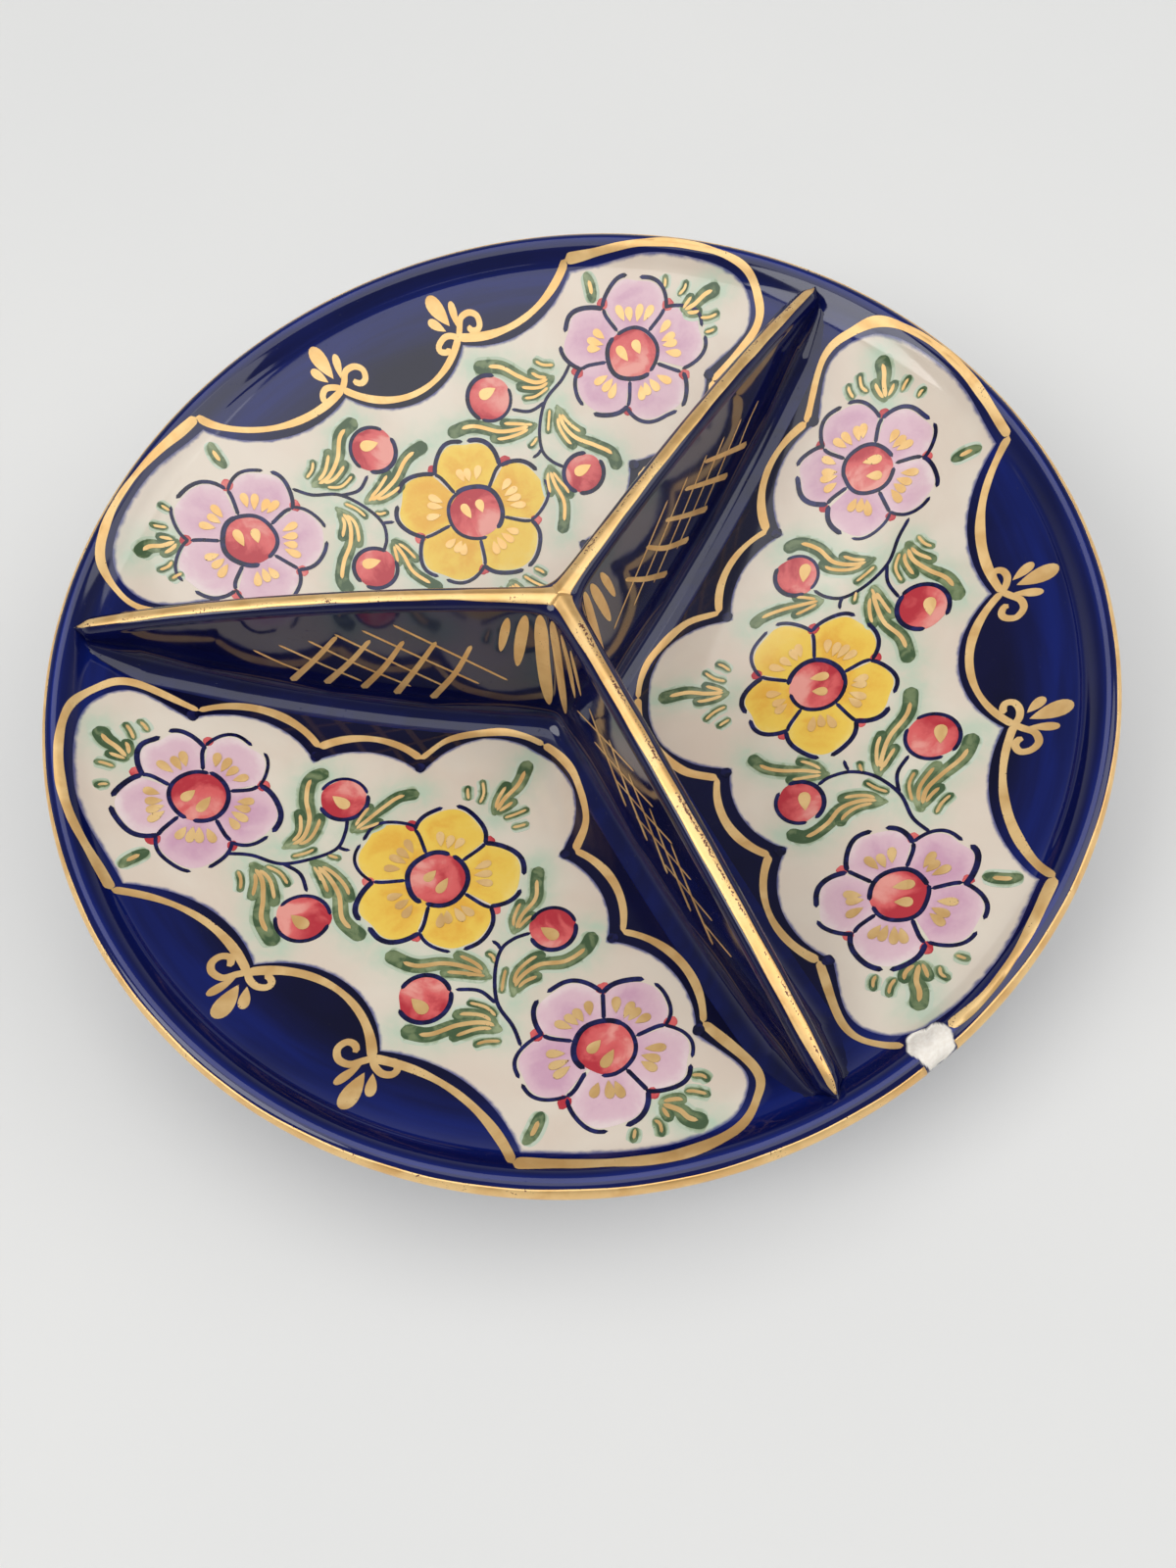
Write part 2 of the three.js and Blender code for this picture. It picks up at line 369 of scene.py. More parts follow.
def ramp(tree, value, low, high, to_low=0.0, to_high=1.0):
    """A value stretched smoothly from one range to another."""
    inputs = {"Value": value, "From Min": low, "From Max": high, "To Min": to_low, "To Max": to_high}
    return add_node(tree, "ShaderNodeMapRange", inputs, interpolation_type="SMOOTHSTEP").outputs[0]


def noise(tree, vector, scale, detail=3.0, warp=0.0):
    """A cloudy value between 0 and 1."""
    inputs = {"Vector": vector, "Scale": scale, "Detail": detail, "Distortion": warp}
    return add_node(tree, "ShaderNodeTexNoise", inputs).outputs[0]


def mark(tree, name, vector=False):
    """A value that the mesh carries on its points."""
    node = add_node(tree, "ShaderNodeAttribute", attribute_name=name)
    return node.outputs["Vector" if vector else "Fac"]


def place(tree):
    """The place of a point in the dish's own frame."""
    return add_node(tree, "ShaderNodeTexCoord").outputs["Object"]


def new_group(name, inputs, outputs):
    """An empty shader node group with named values going in and coming out."""
    tree = bpy.data.node_groups.new(name, "ShaderNodeTree")
    for label, value in inputs.items():
        socket = tree.interface.new_socket(label, in_out="INPUT", socket_type="NodeSocketFloat")
        socket.default_value = value
    for label in outputs:
        tree.interface.new_socket(label, in_out="OUTPUT", socket_type="NodeSocketFloat")
    return tree, add_node(tree, "NodeGroupInput"), add_node(tree, "NodeGroupOutput")


def put_out(coming_out, values):
    """Joins the values that a group puts out, and says which they are."""
    join(coming_out, values)
    print("group", coming_out.id_data.name, "puts out", ", ".join(values))


print("values come from sums, ramps, noise, marks on the points, and places")

# %% [markdown]
# ## Effects that several finishes share
# Three effects return all over the dish, so each is a node group. **Glaze skin** is the slow ripple and
# the rare pinhole of a clear glaze, with a roughness that drifts a little. **Pigment wash** is watery
# underglaze colour: cloudy where the brush was wet, and darker where it pooled at the end of a stroke.
# **Gilt wear** is brushed gold that has been rubbed thin, most of all along its edges.

# %% Glaze skin
RIPPLES = 55.0  # fineness of a texture: the larger it is, the smaller the clouds
PINHOLES = 1400.0
GLOSS_DRIFT = 30.0

glaze_skin, going_in, coming_out = new_group(
    "glaze_skin", {"Ripple": RIPPLES, "Pinholes": 0.25}, ["Height", "Roughness"]
)
spot = place(glaze_skin)
ripple = noise(glaze_skin, spot, going_in.outputs["Ripple"], 1.5)
pinhole = ramp(glaze_skin, noise(glaze_skin, spot, PINHOLES, 1.0), 0.74, 0.8)
pits = sums(glaze_skin, "MULTIPLY", pinhole, going_in.outputs["Pinholes"])
drift = ramp(glaze_skin, noise(glaze_skin, spot, GLOSS_DRIFT, 4.0), 0.3, 0.75, 0.05, 0.11)
put_out(coming_out, {"Height": sums(glaze_skin, "SUBTRACT", ripple, pits), "Roughness": drift})

# %% Pigment wash
SPECKLE = 1100.0

pigment_wash, going_in, coming_out = new_group(
    "pigment_wash",
    {"Inset": 0.5, "Cloud": 160.0, "Mottle": 1.0, "Pooling": 0.4, "Pool width": 0.35},
    ["Density"],
)
spot = place(pigment_wash)
broad = noise(pigment_wash, spot, going_in.outputs["Cloud"], 4.0, 0.8)
fine = noise(pigment_wash, spot, SPECKLE, 2.0)
billow = ramp(pigment_wash, broad, 0.32, 0.68, -0.5, 0.5)
cloud = sums(pigment_wash, "MULTIPLY", billow, going_in.outputs["Mottle"])
cloudy = sums(pigment_wash, "ADD", cloud, ramp(pigment_wash, fine, 0.0, 1.0, 0.5, 0.68))
edge = ramp(pigment_wash, going_in.outputs["Inset"], 0.0, going_in.outputs["Pool width"], 1.0, 0.0)
pooled = sums(pigment_wash, "MULTIPLY", edge, going_in.outputs["Pooling"])
density = sums(pigment_wash, "ADD", cloudy, pooled, clamp=True)
put_out(coming_out, {"Density": density})

# %% Gilt wear
GILT_GRAIN = 2200.0
GILT_PATCHES = 130.0

gilt_wear, going_in, coming_out = new_group(
    "gilt_wear", {"Inset": 1.0, "Rub": 0.5}, ["Bare", "Tone", "Height", "Roughness"]
)
spot = place(gilt_wear)
grain = noise(gilt_wear, spot, GILT_GRAIN, 2.0, 0.3)
patch = noise(gilt_wear, spot, GILT_PATCHES, 4.0, 0.6)
rim = ramp(gilt_wear, going_in.outputs["Inset"], 0.0, 0.4, 0.06, 0.0)
uneven = sums(gilt_wear, "MULTIPLY", grain, ramp(gilt_wear, patch, 0.2, 0.8, 0.55, 1.0))
rubbed = sums(gilt_wear, "ADD", uneven, rim)
allowed = ramp(gilt_wear, going_in.outputs["Rub"], 0.0, 1.0, 0.66, 0.3)
worn = sums(gilt_wear, "SUBTRACT", rubbed, allowed)
put_out(coming_out, {
    "Bare": ramp(gilt_wear, worn, -0.01, 0.03),
    "Tone": ramp(gilt_wear, patch, 0.3, 0.7),
    "Height": grain,
    "Roughness": ramp(gilt_wear, patch, 0.25, 0.75, 0.32, 0.5),
})

# %% [markdown]
# ## Glazed finishes
# All the colours lie under one clear glaze, so they share its gloss and its skin and differ only in
# colour. One function starts such a finish: a shader with the gloss of glass, the glaze skin as a bump,
# and the colour still to come. A second one takes the gloss away where bare clay shows.

# %% Start of a glazed finish
GLAZE_IOR = 1.5
RIPPLE_DEPTH = 0.00005  # metres
WALL_RIPPLE_DEPTH = 0.00016  # the upright walls were smoothed by hand, so they are less even


def glazed(name, depth=RIPPLE_DEPTH):
    """A material with a clear glaze on it. Its colour is joined later."""
    material, tree, shader = new_material(name)
    skin = add_node(tree, "ShaderNodeGroup", {"Ripple": RIPPLES}, node_tree=glaze_skin)
    bump = add_node(tree, "ShaderNodeBump", {"Height": skin.outputs["Height"], "Distance": depth})
    join(shader, {"Normal": bump.outputs["Normal"], "Roughness": skin.outputs["Roughness"]})
    join(shader, {"IOR": GLAZE_IOR})
    return material, tree, shader


def dull_where(tree, shader, bare, roughness):
    """Takes the gloss away where clay is bare."""
    gloss = shader.inputs["Roughness"].links[0].from_socket
    dull = add_node(tree, "ShaderNodeMix", {0: bare, 2: gloss, 3: roughness}, data_type="FLOAT")
    join(shader, {"Roughness": dull.outputs[0]})


print("glaze ripples are", RIPPLE_DEPTH / MM, "mm deep")

# %% [markdown]
# Cobalt is brushed on under the glaze. Where the brush left much of it, it fires nearly black, and where
# it was thin, a bright blue shows with the streaks of the brush. The mesh says where the cobalt is thin,
# where a painted highlight lightens it on the bowl's lip band, and in which direction the brush went. The
# bowl's finish also holds the bare clay of the chip at the rim, and the cream glaze under the foot.

# %% Cobalt ground
COBALT_DEEP = chart(5, 5, 38)
COBALT_MIDDLE = chart(9, 10, 54)
COBALT_THIN = chart(16, 38, 128)
COBALT_CLOUDS = 38.0
BISCUIT = chart(246, 240, 230)
BISCUIT_SHADE = chart(236, 228, 216)
BISCUIT_GRIT = 1500.0
BISCUIT_ROUGHNESS = 0.85
CREAM = chart(226, 216, 202)


def cobalt_ground(name, depth, chipped=False):
    """Deep cobalt under glaze, lighter at thin brushed places and at a painted highlight, and bare clay
    where it is chipped.
    """
    material, tree, shader = glazed(name, depth=depth)
    streaks = noise(tree, mark(tree, "brush", vector=True), 1.0, 5.0, 0.3)
    cloud = noise(tree, place(tree), COBALT_CLOUDS, 4.0, 0.5)
    # The thin mark also carries the painted highlight on the bowl's lip band.
    thin = mark(tree, "thin")
    lifted = sums(tree, "MULTIPLY", ramp(tree, streaks, 0.3, 0.7, 0.5, 1.0), thin)
    colour = mix_colour(tree, ramp(tree, cloud, 0.3, 0.7), COBALT_DEEP, COBALT_MIDDLE)
    colour = mix_colour(tree, lifted, colour, COBALT_THIN)
    if chipped:
        grit = noise(tree, place(tree), BISCUIT_GRIT, 3.0)
        bare = mark(tree, "bare")
        clay = mix_colour(tree, ramp(tree, grit, 0.3, 0.7), BISCUIT_SHADE, BISCUIT)
        colour = mix_colour(tree, mark(tree, "cream"), colour, CREAM)
        colour = mix_colour(tree, bare, colour, clay)
        dull_where(tree, shader, bare, BISCUIT_ROUGHNESS)
    join(shader, {"Base Color": colour})
    return material


cobalt_bowl = cobalt_ground("cobalt_bowl", RIPPLE_DEPTH, chipped=True)
cobalt_wall = cobalt_ground("cobalt_wall", WALL_RIPPLE_DEPTH)
print("finishes", cobalt_bowl.name, "and", cobalt_wall.name)

# %% [markdown]
# ## The bowl
# The bowl is a turned shape, so it is one profile carried round the axis: out along the underside, up
# under the lip, over the rounded edge, and back down the inside. A lathe or screw modifier could do the
# same, but points made in code let the columns crowd together at the chip, where the lip has lost a
# flake of glaze and gold. The flake is pressed into the mesh as a shallow hollow with a sharp edge.

# %% Profile of the bowl
THREAD_REACH = 0.9  # half the width of the fine turned thread at the crease
THREAD_RISE = 0.1
THREAD_SPAN = 25  # degrees to each side of a panel's middle, as far as its shoulders
AXIS_GAP = 2.0  # from the axis to the flat faces that close the profile's two ends
STEPS = {"underside": 44, "under_lip": 14, "edge": 15, "band": 15, "thread": 15, "inside": 60}


def bezier(first, bend, last, steps):
    """Points of a quadratic curve, without its first point."""
    share = np.linspace(0, 1, steps + 1)[1:, None]
    first, bend, last = (np.asarray(point, float) for point in (first, bend, last))
    return (1 - share) ** 2 * first + 2 * share * (1 - share) * bend + share**2 * last


def bowl_profile():
    """Distances and heights from the underside near the axis, over the lip, to the inside near the axis."""
    out = np.linspace(AXIS_GAP, crease_radius, STEPS["underside"])
    underside = np.stack([out, outside_height(out)], -1)
    start = underside[-1]
    slope = crease_radius / (sphere_height - start[1])
    outer = edge_middle[0] + edge_radius
    bend = (outer, start[1] + slope * (outer - crease_radius))
    under_lip = bezier(start, bend, (outer, edge_middle[1]), STEPS["under_lip"])
    angles = np.radians(np.linspace(0, 90, STEPS["edge"]))[1:]
    edge = edge_middle + edge_radius * np.stack([np.cos(angles), np.sin(angles)], -1)
    thread_ends = crease_radius + THREAD_REACH, crease_radius - THREAD_REACH
    band = np.linspace(edge_middle[0], thread_ends[0], STEPS["band"])[1:]
    thread = np.linspace(*thread_ends, STEPS["thread"])[1:]
    back = np.linspace(thread_ends[1], AXIS_GAP, STEPS["inside"])[1:]
    inside = np.concatenate([band, thread, back])
    return np.concatenate([underside, under_lip, edge, np.stack([inside, inside_height(inside)], -1)])


profile = bowl_profile()
print(len(profile), "points in the bowl's profile, widest", round(profile[:, 0].max(), 2), "mm")

# %% Chip at the rim
CHIP_ANGLE = -49.8  # degrees about the axis
CHIP_MIDDLE = 5.4  # from the crease, up over the lip
CHIP_REACH = 5.4  # half its size across the lip
CHIP_SPAN = 4.5  # half its size along the rim
CHIP_DEPTH = 0.4
CHIP_RAGGED = ((3, 0.09, 0.6), (5, 0.05, 2.1), (9, 0.03, 0.0))  # count, size and phase of its edge's waves
COLUMN_STEP = 1.2  # degrees between the columns of the bowl's mesh
FINE_STEP = 0.15  # degrees between them at the chip
FINE_SPAN = 3.0  # degrees to each side of the chip's middle
LAST_STEP = 0.01  # degrees, so that a range takes in its end


def way_along(path):
    """How far along a path each of its points lies."""
    return np.concatenate([[0], np.cumsum(np.hypot(*np.diff(path, axis=0).T))])


def waves(angle, parts, wave, total=0.0):
    """Adds waves up, each given by its count, size and phase."""
    for count, size, phase in parts:
        total = total + size * wave(count * angle + phase)
    return total


def chip_share(around, up):
    """Below 1 inside the chip, from distances along the rim and up over the lip."""
    x = around / CHIP_SPAN
    y = (up - CHIP_MIDDLE) / CHIP_REACH
    return np.hypot(x, y) / waves(np.arctan2(y, x), CHIP_RAGGED, np.cos, 1.0)


def from_chip(degrees):
    """Degrees from the chip's middle, between -180 and 180."""
    return (degrees - CHIP_ANGLE + 180) % 360 - 180


travel = way_along(profile)
top_row = int(np.argmax(profile[:, 1]))
crease_row = top_row + int(np.argmin(np.abs(profile[top_row:, 0] - crease_radius)))
up_lip = travel[crease_row] - travel
coarse = np.arange(0, 360, COLUMN_STEP)
near = CHIP_ANGLE + np.arange(-FINE_SPAN, FINE_SPAN + LAST_STEP, FINE_STEP)
away = np.abs(from_chip(coarse)) > FINE_SPAN + COLUMN_STEP / 4
columns = np.sort(np.concatenate([coarse[away], near % 360]))
print(len(columns), "columns round the bowl,", len(near), "of them at the chip")

# %% Surface of the bowl
CHIP_EDGE = (1.02, 0.9)  # shares between which the flake's edge falls off
BARE_EDGE = (1.03, 0.97)  # shares between which glaze gives way to clay
CHIP_WAVES = 1.3  # closeness of the low waves on the flake's bed
CHIP_WAVE_SIZE = 0.2  # share of the chip's depth
THREAD_SHARPNESS = 3
PANEL_SPAN = 120  # degrees from one panel to the next


def smooth_step(value, low, high):
    """0 below the first value, 1 above the second, smooth between."""
    share = np.clip((value - low) / (high - low), 0, 1)
    return share * share * (3 - 2 * share)


tangent = np.gradient(profile, axis=0)
outward = unit(np.stack([tangent[:, 1], -tangent[:, 0]], -1))
turn = np.radians(columns)
around = from_chip(columns) * math.pi / 180 * rim_radius
share = chip_share(around[None, :], up_lip[:, None])
bed = 1 - CHIP_WAVE_SIZE * np.cos(CHIP_WAVES * around[None, :] + up_lip[:, None])
hollow = CHIP_DEPTH * smooth_step(share, *CHIP_EDGE) * bed
bare = smooth_step(share, *BARE_EDGE)
facing_in = (np.arange(len(profile)) >= top_row)[:, None]
off_middle = np.abs((columns + PANEL_SPAN / 2) % PANEL_SPAN - PANEL_SPAN / 2)
thread = np.exp(-((THREAD_SHARPNESS * (profile[:, :1] - crease_radius) / THREAD_REACH) ** 2)) * facing_in
thread = THREAD_RISE * thread * smooth_step(off_middle, THREAD_SPAN + 1, THREAD_SPAN - 2)
distance = profile[:, :1] + outward[:, :1] * (thread - hollow)
height = profile[:, 1:] + outward[:, 1:] * (thread - hollow)
bowl_points = np.stack([distance * np.cos(turn), distance * np.sin(turn), height], -1)
rows = len(profile)
bowl_faces = grid_faces(rows, len(columns), around=True).tolist()
bowl_faces.append(list(range(len(columns)))[::-1])
bowl_faces.append([(rows - 1) * len(columns) + i for i in range(len(columns))])
print("the chip is", round(hollow.max(), 2), "mm deep, the thread", round(thread.max(), 2), "mm high")

# %% Bowl
BRUSH_TURNS = 3.0  # how often the brush was lifted round the rim
BRUSH_PITCH = 0.11  # closeness of its streaks, from the middle outwards
# The first band is thinner brushed cobalt towards the crease, the second makes the cobalt darker at the
# crease, and the last is a painted highlight: lighter cobalt on the lip band next to the gold.
THIN_AND_HIGHLIGHT_BANDS = ((0.62, 98, 110), (-0.35, 111, 114), (0.6, 115, 117))  # how much thinner, from and to where
THIN_OUTSIDE = 0.35
RECESS_EDGE = (53.0, 52.4)  # under the foot ring, where the cobalt ends and the cream begins

thin_and_highlight_inside = 0.0
for change, start, end in THIN_AND_HIGHLIGHT_BANDS:
    thin_and_highlight_inside = thin_and_highlight_inside + change * smooth_step(distance, start, end)
# thin carries the thinner brushed cobalt and, on the lip band, that painted highlight.
thin = np.where(facing_in, thin_and_highlight_inside, THIN_OUTSIDE)
cream = np.where(facing_in, 0.0, smooth_step(distance, *RECESS_EDGE))
brush = np.stack(np.broadcast_arrays(np.cos(turn), np.sin(turn), distance * BRUSH_PITCH), -1)
make_piece(
    "bowl", bowl_points.reshape(-1, 3), bowl_faces, cobalt_bowl, ["dish_body"],
    marks={
        "thin": thin.ravel(),
        "cream": cream.ravel(),
        "bare": bare.ravel(),
        "brush": brush.reshape(-1, 3) * BRUSH_TURNS,
    },
)

# %% [markdown]
# ## The foot ring
# Under the bowl sits a ring that was turned with it. Its sides are glazed cream, and the narrow face that
# the dish stands on was wiped clean before the firing, so bare clay shows there. Its profile is closed
# and runs round the axis like the bowl's.

# %% Profile of the foot ring
FOOT_WIDTH = 5.0
FOOT_FLARE = 1.2
FOOT_CHAMFER = 0.8
FOOT_CURVE = 1.6  # how late its sides flare out
SEAT_SINK = 1.0  # by which the ring goes into the bowl's clay

_, foot_high = node_box("foot_ring")
foot_top = foot_high.x
foot_outer = foot_top - FOOT_FLARE
foot_inner = foot_outer - FOOT_WIDTH


def foot_profile():
    """A closed profile: along the face, up the outside, through the clay and down the inside."""
    def side(base, top):
        level = np.linspace(0, 1, 9)
        height = FOOT_CHAMFER + level * (outside_height(top) - FOOT_CHAMFER)
        reach = base + (top - base) * level**FOOT_CURVE
        return np.stack([reach, height], -1)

    def corner(base, sign, angles):
        middle = np.array([base - sign * FOOT_CHAMFER, FOOT_CHAMFER])
        angles = np.radians(angles)
        return middle + FOOT_CHAMFER * np.stack([sign * np.cos(angles), np.sin(angles)], -1)

    rounding = np.linspace(-90, 0, 7)
    outside = side(foot_outer, foot_top)
    inside = side(foot_inner, foot_inner - FOOT_FLARE)
    seat = np.array([outside[-1] + (0, SEAT_SINK), inside[-1] + (0, SEAT_SINK)])
    return np.concatenate([
        corner(foot_outer, 1, rounding), outside[1:], seat, inside[:0:-1],
        corner(foot_inner, -1, rounding[::-1]),
    ])


ring = foot_profile()
print(len(ring), "points in the foot ring's profile")

# %% Foot ring
BARE_FACE = (0.75, 0.35)  # heights between which glaze gives way to the wiped face
FOOT_STEP = 1.5  # degrees
FOOT_CLAY = chart(205, 190, 168)
FOOT_CLAY_STAINED = chart(168, 148, 122)
FOOT_CREAM_STAINED = chart(214, 202, 184)
FOOT_STAINS = 180.0
FOOT_ROUGHNESS = 0.9


def foot_clay():
    """Cream glaze on the sides and bare, slightly stained clay on the face that stands on the table."""
    material, tree, shader = glazed("foot_clay")
    face = mark(tree, "face")
    stain = ramp(tree, noise(tree, place(tree), FOOT_STAINS, 5.0, 0.6), 0.35, 0.7)
    clay = mix_colour(tree, stain, FOOT_CLAY, FOOT_CLAY_STAINED)
    glaze = mix_colour(tree, stain, CREAM, FOOT_CREAM_STAINED)
    join(shader, {"Base Color": mix_colour(tree, face, glaze, clay)})
    dull_where(tree, shader, face, FOOT_ROUGHNESS)
    return material


ring_turn = np.radians(np.arange(0, 360, FOOT_STEP))
ring_points = np.stack([
    ring[:, :1] * np.cos(ring_turn), ring[:, :1] * np.sin(ring_turn), ring[:, 1:] + 0 * ring_turn
], -1)
ring_faces = grid_faces(len(ring), len(ring_turn), around=True).tolist()
last = (len(ring) - 1) * len(ring_turn)
ring_faces += [
    [last + i, last + j, j, i] for i, j in zip(range(len(ring_turn)), [*range(1, len(ring_turn)), 0])
]
face = smooth_step(ring[:, 1:], *BARE_FACE) + 0 * ring_turn
make_piece(
    "foot_ring_turned", ring_points.reshape(-1, 3), ring_faces, foot_clay(), ["foot_ring"],
    marks={"face": face.ravel()},
)

# %% [markdown]
# ## The dividers
# Three upright walls stand on the bowl and meet at the hub. Each one is the section from above, swept
# from the mitre plane at the hub to its rounded nose at the rim, on both sides. The hollow corner between
# two walls is rounded by a hyperbola: the walls' distances are blended, so the corner is sharp at the
# crest and soft further down, as slip fills it on the real dish.

# %% Side of a divider
TOE_SINK = 0.4  # by which a wall's toe goes into the bowl
TIP_GAP = 0.02  # from the last column to the very tip
CREST_ROWS, FACE_ROWS, FILLET_ROWS = 9, 15, 10
WALL_COLUMNS = 150
HUB_SHARE, HUB_CROWD = 0.4, 2.4  # how much the columns crowd together at the hub, and how steeply
TIP_SHARE, TIP_CROWD = 0.6, 1.3  # the same at the tip

wall_rows = np.concatenate([
    np.linspace(0, 1, CREST_ROWS), np.linspace(1, 2, FACE_ROWS)[1:], np.linspace(2, 3, FILLET_ROWS)[1:]
])
even = np.linspace(0, 1, WALL_COLUMNS)
swept = HUB_SHARE * even**HUB_CROWD + TIP_SHARE * np.sin(even * math.pi / 2) ** TIP_CROWD


def wall_grid(rows, shares):
    """Reach and row of the points of a divider's side."""
    tip = crest_end - TIP_GAP
    ends = np.array([wall_reach(np.array(tip), row) for row in rows])
    return ends[:, None] * shares[None, :], rows[:, None] + 0 * shares[None, :]


reach, row = wall_grid(wall_rows, swept)
side_points = wall_point(reach, row)
side_normals = wall_normal(reach, row)
toe = side_points[-1] - np.array([0, 0, TOE_SINK])
side_points = np.concatenate([side_points, toe[None]])
side_normals = np.concatenate([side_normals, side_normals[-1:]])
print("a divider's side has", side_points.shape[0], "rows and", side_points.shape[1], "columns")

# %% Dividers
DIVIDERS = {"left": 180, "front_right": 300, "back_right": 60}
WALL_THIN = 0.1
TOE_THIN = 0.25  # by which the cobalt is thinner at a wall's toe
TOE_SPAN = (4, 11)  # from the wall's middle, where that begins and ends
WALL_BRUSH = np.array([0.12, 0.12, 0.5])  # closeness of the brush's streaks


def divider_mesh():
    """A closed wall along +X from its left side, its mirrored right side, a sole and two mitre faces."""
    rows, count = side_points.shape[:2]
    mirror = np.array([1, -1, 1])
    left = side_points.reshape(-1, 3)
    right = (side_points * mirror)[1:].reshape(-1, 3)
    heel = np.array([[0, 0, side_points[-1, 0, 2] - TOE_SINK]])
    points = np.concatenate([left, right, heel])
    normals = np.concatenate([
        side_normals.reshape(-1, 3), (side_normals * mirror)[1:].reshape(-1, 3), [[0, 0, -1]]
    ])
    left_index = np.arange(rows * count).reshape(rows, count)
    right_index = left_index + (rows - 1) * count
    right_index[0] = left_index[0]
    heel_index = len(points) - 1
    quads = grid_faces(rows, count)
    faces = quads.tolist()
    faces += right_index.ravel()[quads[:, ::-1]].tolist()
    sole_left, sole_right = left_index[-1], right_index[-1]
    faces += strip_faces(sole_left, sole_right).tolist()
    faces += [[heel_index, int(sole_left[0]), int(sole_right[0])]]
    faces += [[heel_index, int(a), int(b)] for a, b in zip(left_index[:-1, 0], left_index[1:, 0])]
    faces += [[heel_index, int(b), int(a)] for a, b in zip(right_index[:-1, 0], right_index[1:, 0])]
    tip_left, tip_right = left_index[:, -1], right_index[:, -1]
    tip_faces = np.stack([tip_left[:-1], tip_right[:-1], tip_right[1:], tip_left[1:]], -1)
    faces += tip_faces[1:].tolist()
    faces += [[int(tip_left[0]), int(tip_right[1]), int(tip_left[1])]]
    return points, normals, faces


wall_points, wall_normals, wall_faces = divider_mesh()
wall_thin = WALL_THIN + TOE_THIN * smooth_step(np.abs(wall_points[:, 1]), *TOE_SPAN)
for name, angle in DIVIDERS.items():
    turned_points = turn_points(wall_points, angle)
    make_piece(
        f"wall_{name}", turned_points, wall_faces, cobalt_wall, [f"divider_{name}"],
        normals=turn_points(wall_normals, angle),
        marks={"thin": wall_thin, "brush": turned_points * WALL_BRUSH},
    )

# %% [markdown]
# ## Gilding on the lip and the crests
# Liquid bright gold was brushed on after the glaze firing and fired again. It is a film, so each piece
# here is a thin closed skin on the glaze, with slightly wavy edges where the brush wandered. Its finish
# is a metal with brush streaks and rubbed places where the cobalt comes through.

# %% Finish of the gold
GOLD_LIGHT = chart(250, 212, 148)
GOLD_DEEP = chart(232, 184, 116)
GOLD_RUBBED = chart(104, 58, 46)
GRAIN_DEPTH = 0.00002  # metres
RUBBED_METAL = 0.2  # how metallic a rubbed place still is
BAND_METAL = 0.75  # broad gold on the lip and the crests
LINE_METAL = 0.42  # thin gold in the drawing, which mirrors less
BAND_RUB = 0.2
LINE_RUB = 0.1


def gilding(name, metal, rub=None):
    """Brushed bright gold that is rubbed thin in places, where the mesh says so if no rub is given."""
    material, tree, shader = new_material(name)
    if rub is None:
        rub = mark(tree, "rub")
    inputs = {"Inset": mark(tree, "inset"), "Rub": rub}
    wear = add_node(tree, "ShaderNodeGroup", inputs, node_tree=gilt_wear)
    gold = mix_colour(tree, wear.outputs["Tone"], GOLD_DEEP, GOLD_LIGHT)
    colour = mix_colour(tree, wear.outputs["Bare"], gold, GOLD_RUBBED)
    bump = add_node(tree, "ShaderNodeBump", {"Height": wear.outputs["Height"], "Distance": GRAIN_DEPTH})
    join(shader, {
        "Base Color": colour,
        "Metallic": ramp(tree, wear.outputs["Bare"], 0, 1, metal, RUBBED_METAL),
        "Roughness": wear.outputs["Roughness"],
        "Normal": bump.outputs["Normal"],
    })
    return material


gold_edge = gilding("gold_edge", BAND_METAL, BAND_RUB)
gold_crest = gilding("gold_crest", BAND_METAL)
gold_line = gilding("gold_line", LINE_METAL, LINE_RUB)
print("finishes", gold_edge.name, gold_crest.name, gold_line.name)

# %% Gilding on the lip
RIM_GILD_ANGLE = 60  # degrees above level where the gold starts inside the edge
RIM_GILD_SKIRT = 1.2  # below the edge, on the outside
RIM_GILD_DRIFT = 1.6  # by how much its inner edge wanders
RIM_GILD_WAVES = ((7, 1.2, 0), (17, 0.9, 2), (41, 0.6, 0))  # count, size and phase of that wandering
RIM_GILD_STEP = 0.75  # degrees
CHIP_BARE = 0.86  # share of the chip's span that has lost its gold
LIP_ROWS = 13
GOLD_SINK = 0.15  # by which the skin's underside lies in the glaze
FILM_SWELL = 0.9  # share of the film's thickness that the gold has in its middle
FILM_EDGE = 0.01  # thickness that it keeps at its edge

gap = math.degrees(CHIP_SPAN * CHIP_BARE / rim_radius)
ring_angles = np.radians(np.arange(CHIP_ANGLE + gap, CHIP_ANGLE + 360 - gap + LAST_STEP, RIM_GILD_STEP))
lip_shares = np.linspace(0, 1, LIP_ROWS)
brush_drift = waves(ring_angles, RIM_GILD_WAVES, np.sin)
skirt_angle = math.degrees(RIM_GILD_SKIRT / edge_radius)
gild_span = RIM_GILD_ANGLE + skirt_angle + RIM_GILD_DRIFT * brush_drift
lip_angle = np.radians(-skirt_angle + lip_shares[:, None] * gild_span)
edge_inset = np.minimum(lip_shares, 1 - lip_shares) * 2


def film(inset):
    """Height of the gold over the glaze, by the distance from its edge."""
    return GILT_FILM * np.sqrt(inset) * FILM_SWELL + FILM_EDGE


def lip_grid(stand):
    """Points on the rounded lip, standing off the glaze by a given amount for each row."""
    radius = edge_radius + stand[:, None]
    flat = np.maximum(lip_angle, 0)
    below = np.minimum(lip_angle, 0) * edge_radius
    distance = edge_middle[0] + radius * np.cos(flat)
    height = edge_middle[1] + radius * np.sin(flat) + below
    return np.stack([distance * np.cos(ring_angles), distance * np.sin(ring_angles), height], -1)


lip_points, lip_faces = slab(lip_grid(film(edge_inset)), lip_grid(np.full(LIP_ROWS, -GOLD_SINK)))
lip_inset = np.repeat(edge_inset, len(ring_angles))
make_piece(
    "rim_gold", lip_points, lip_faces, gold_edge, ["rim_gilding"],
    marks={"inset": np.tile(lip_inset, 2)},
)

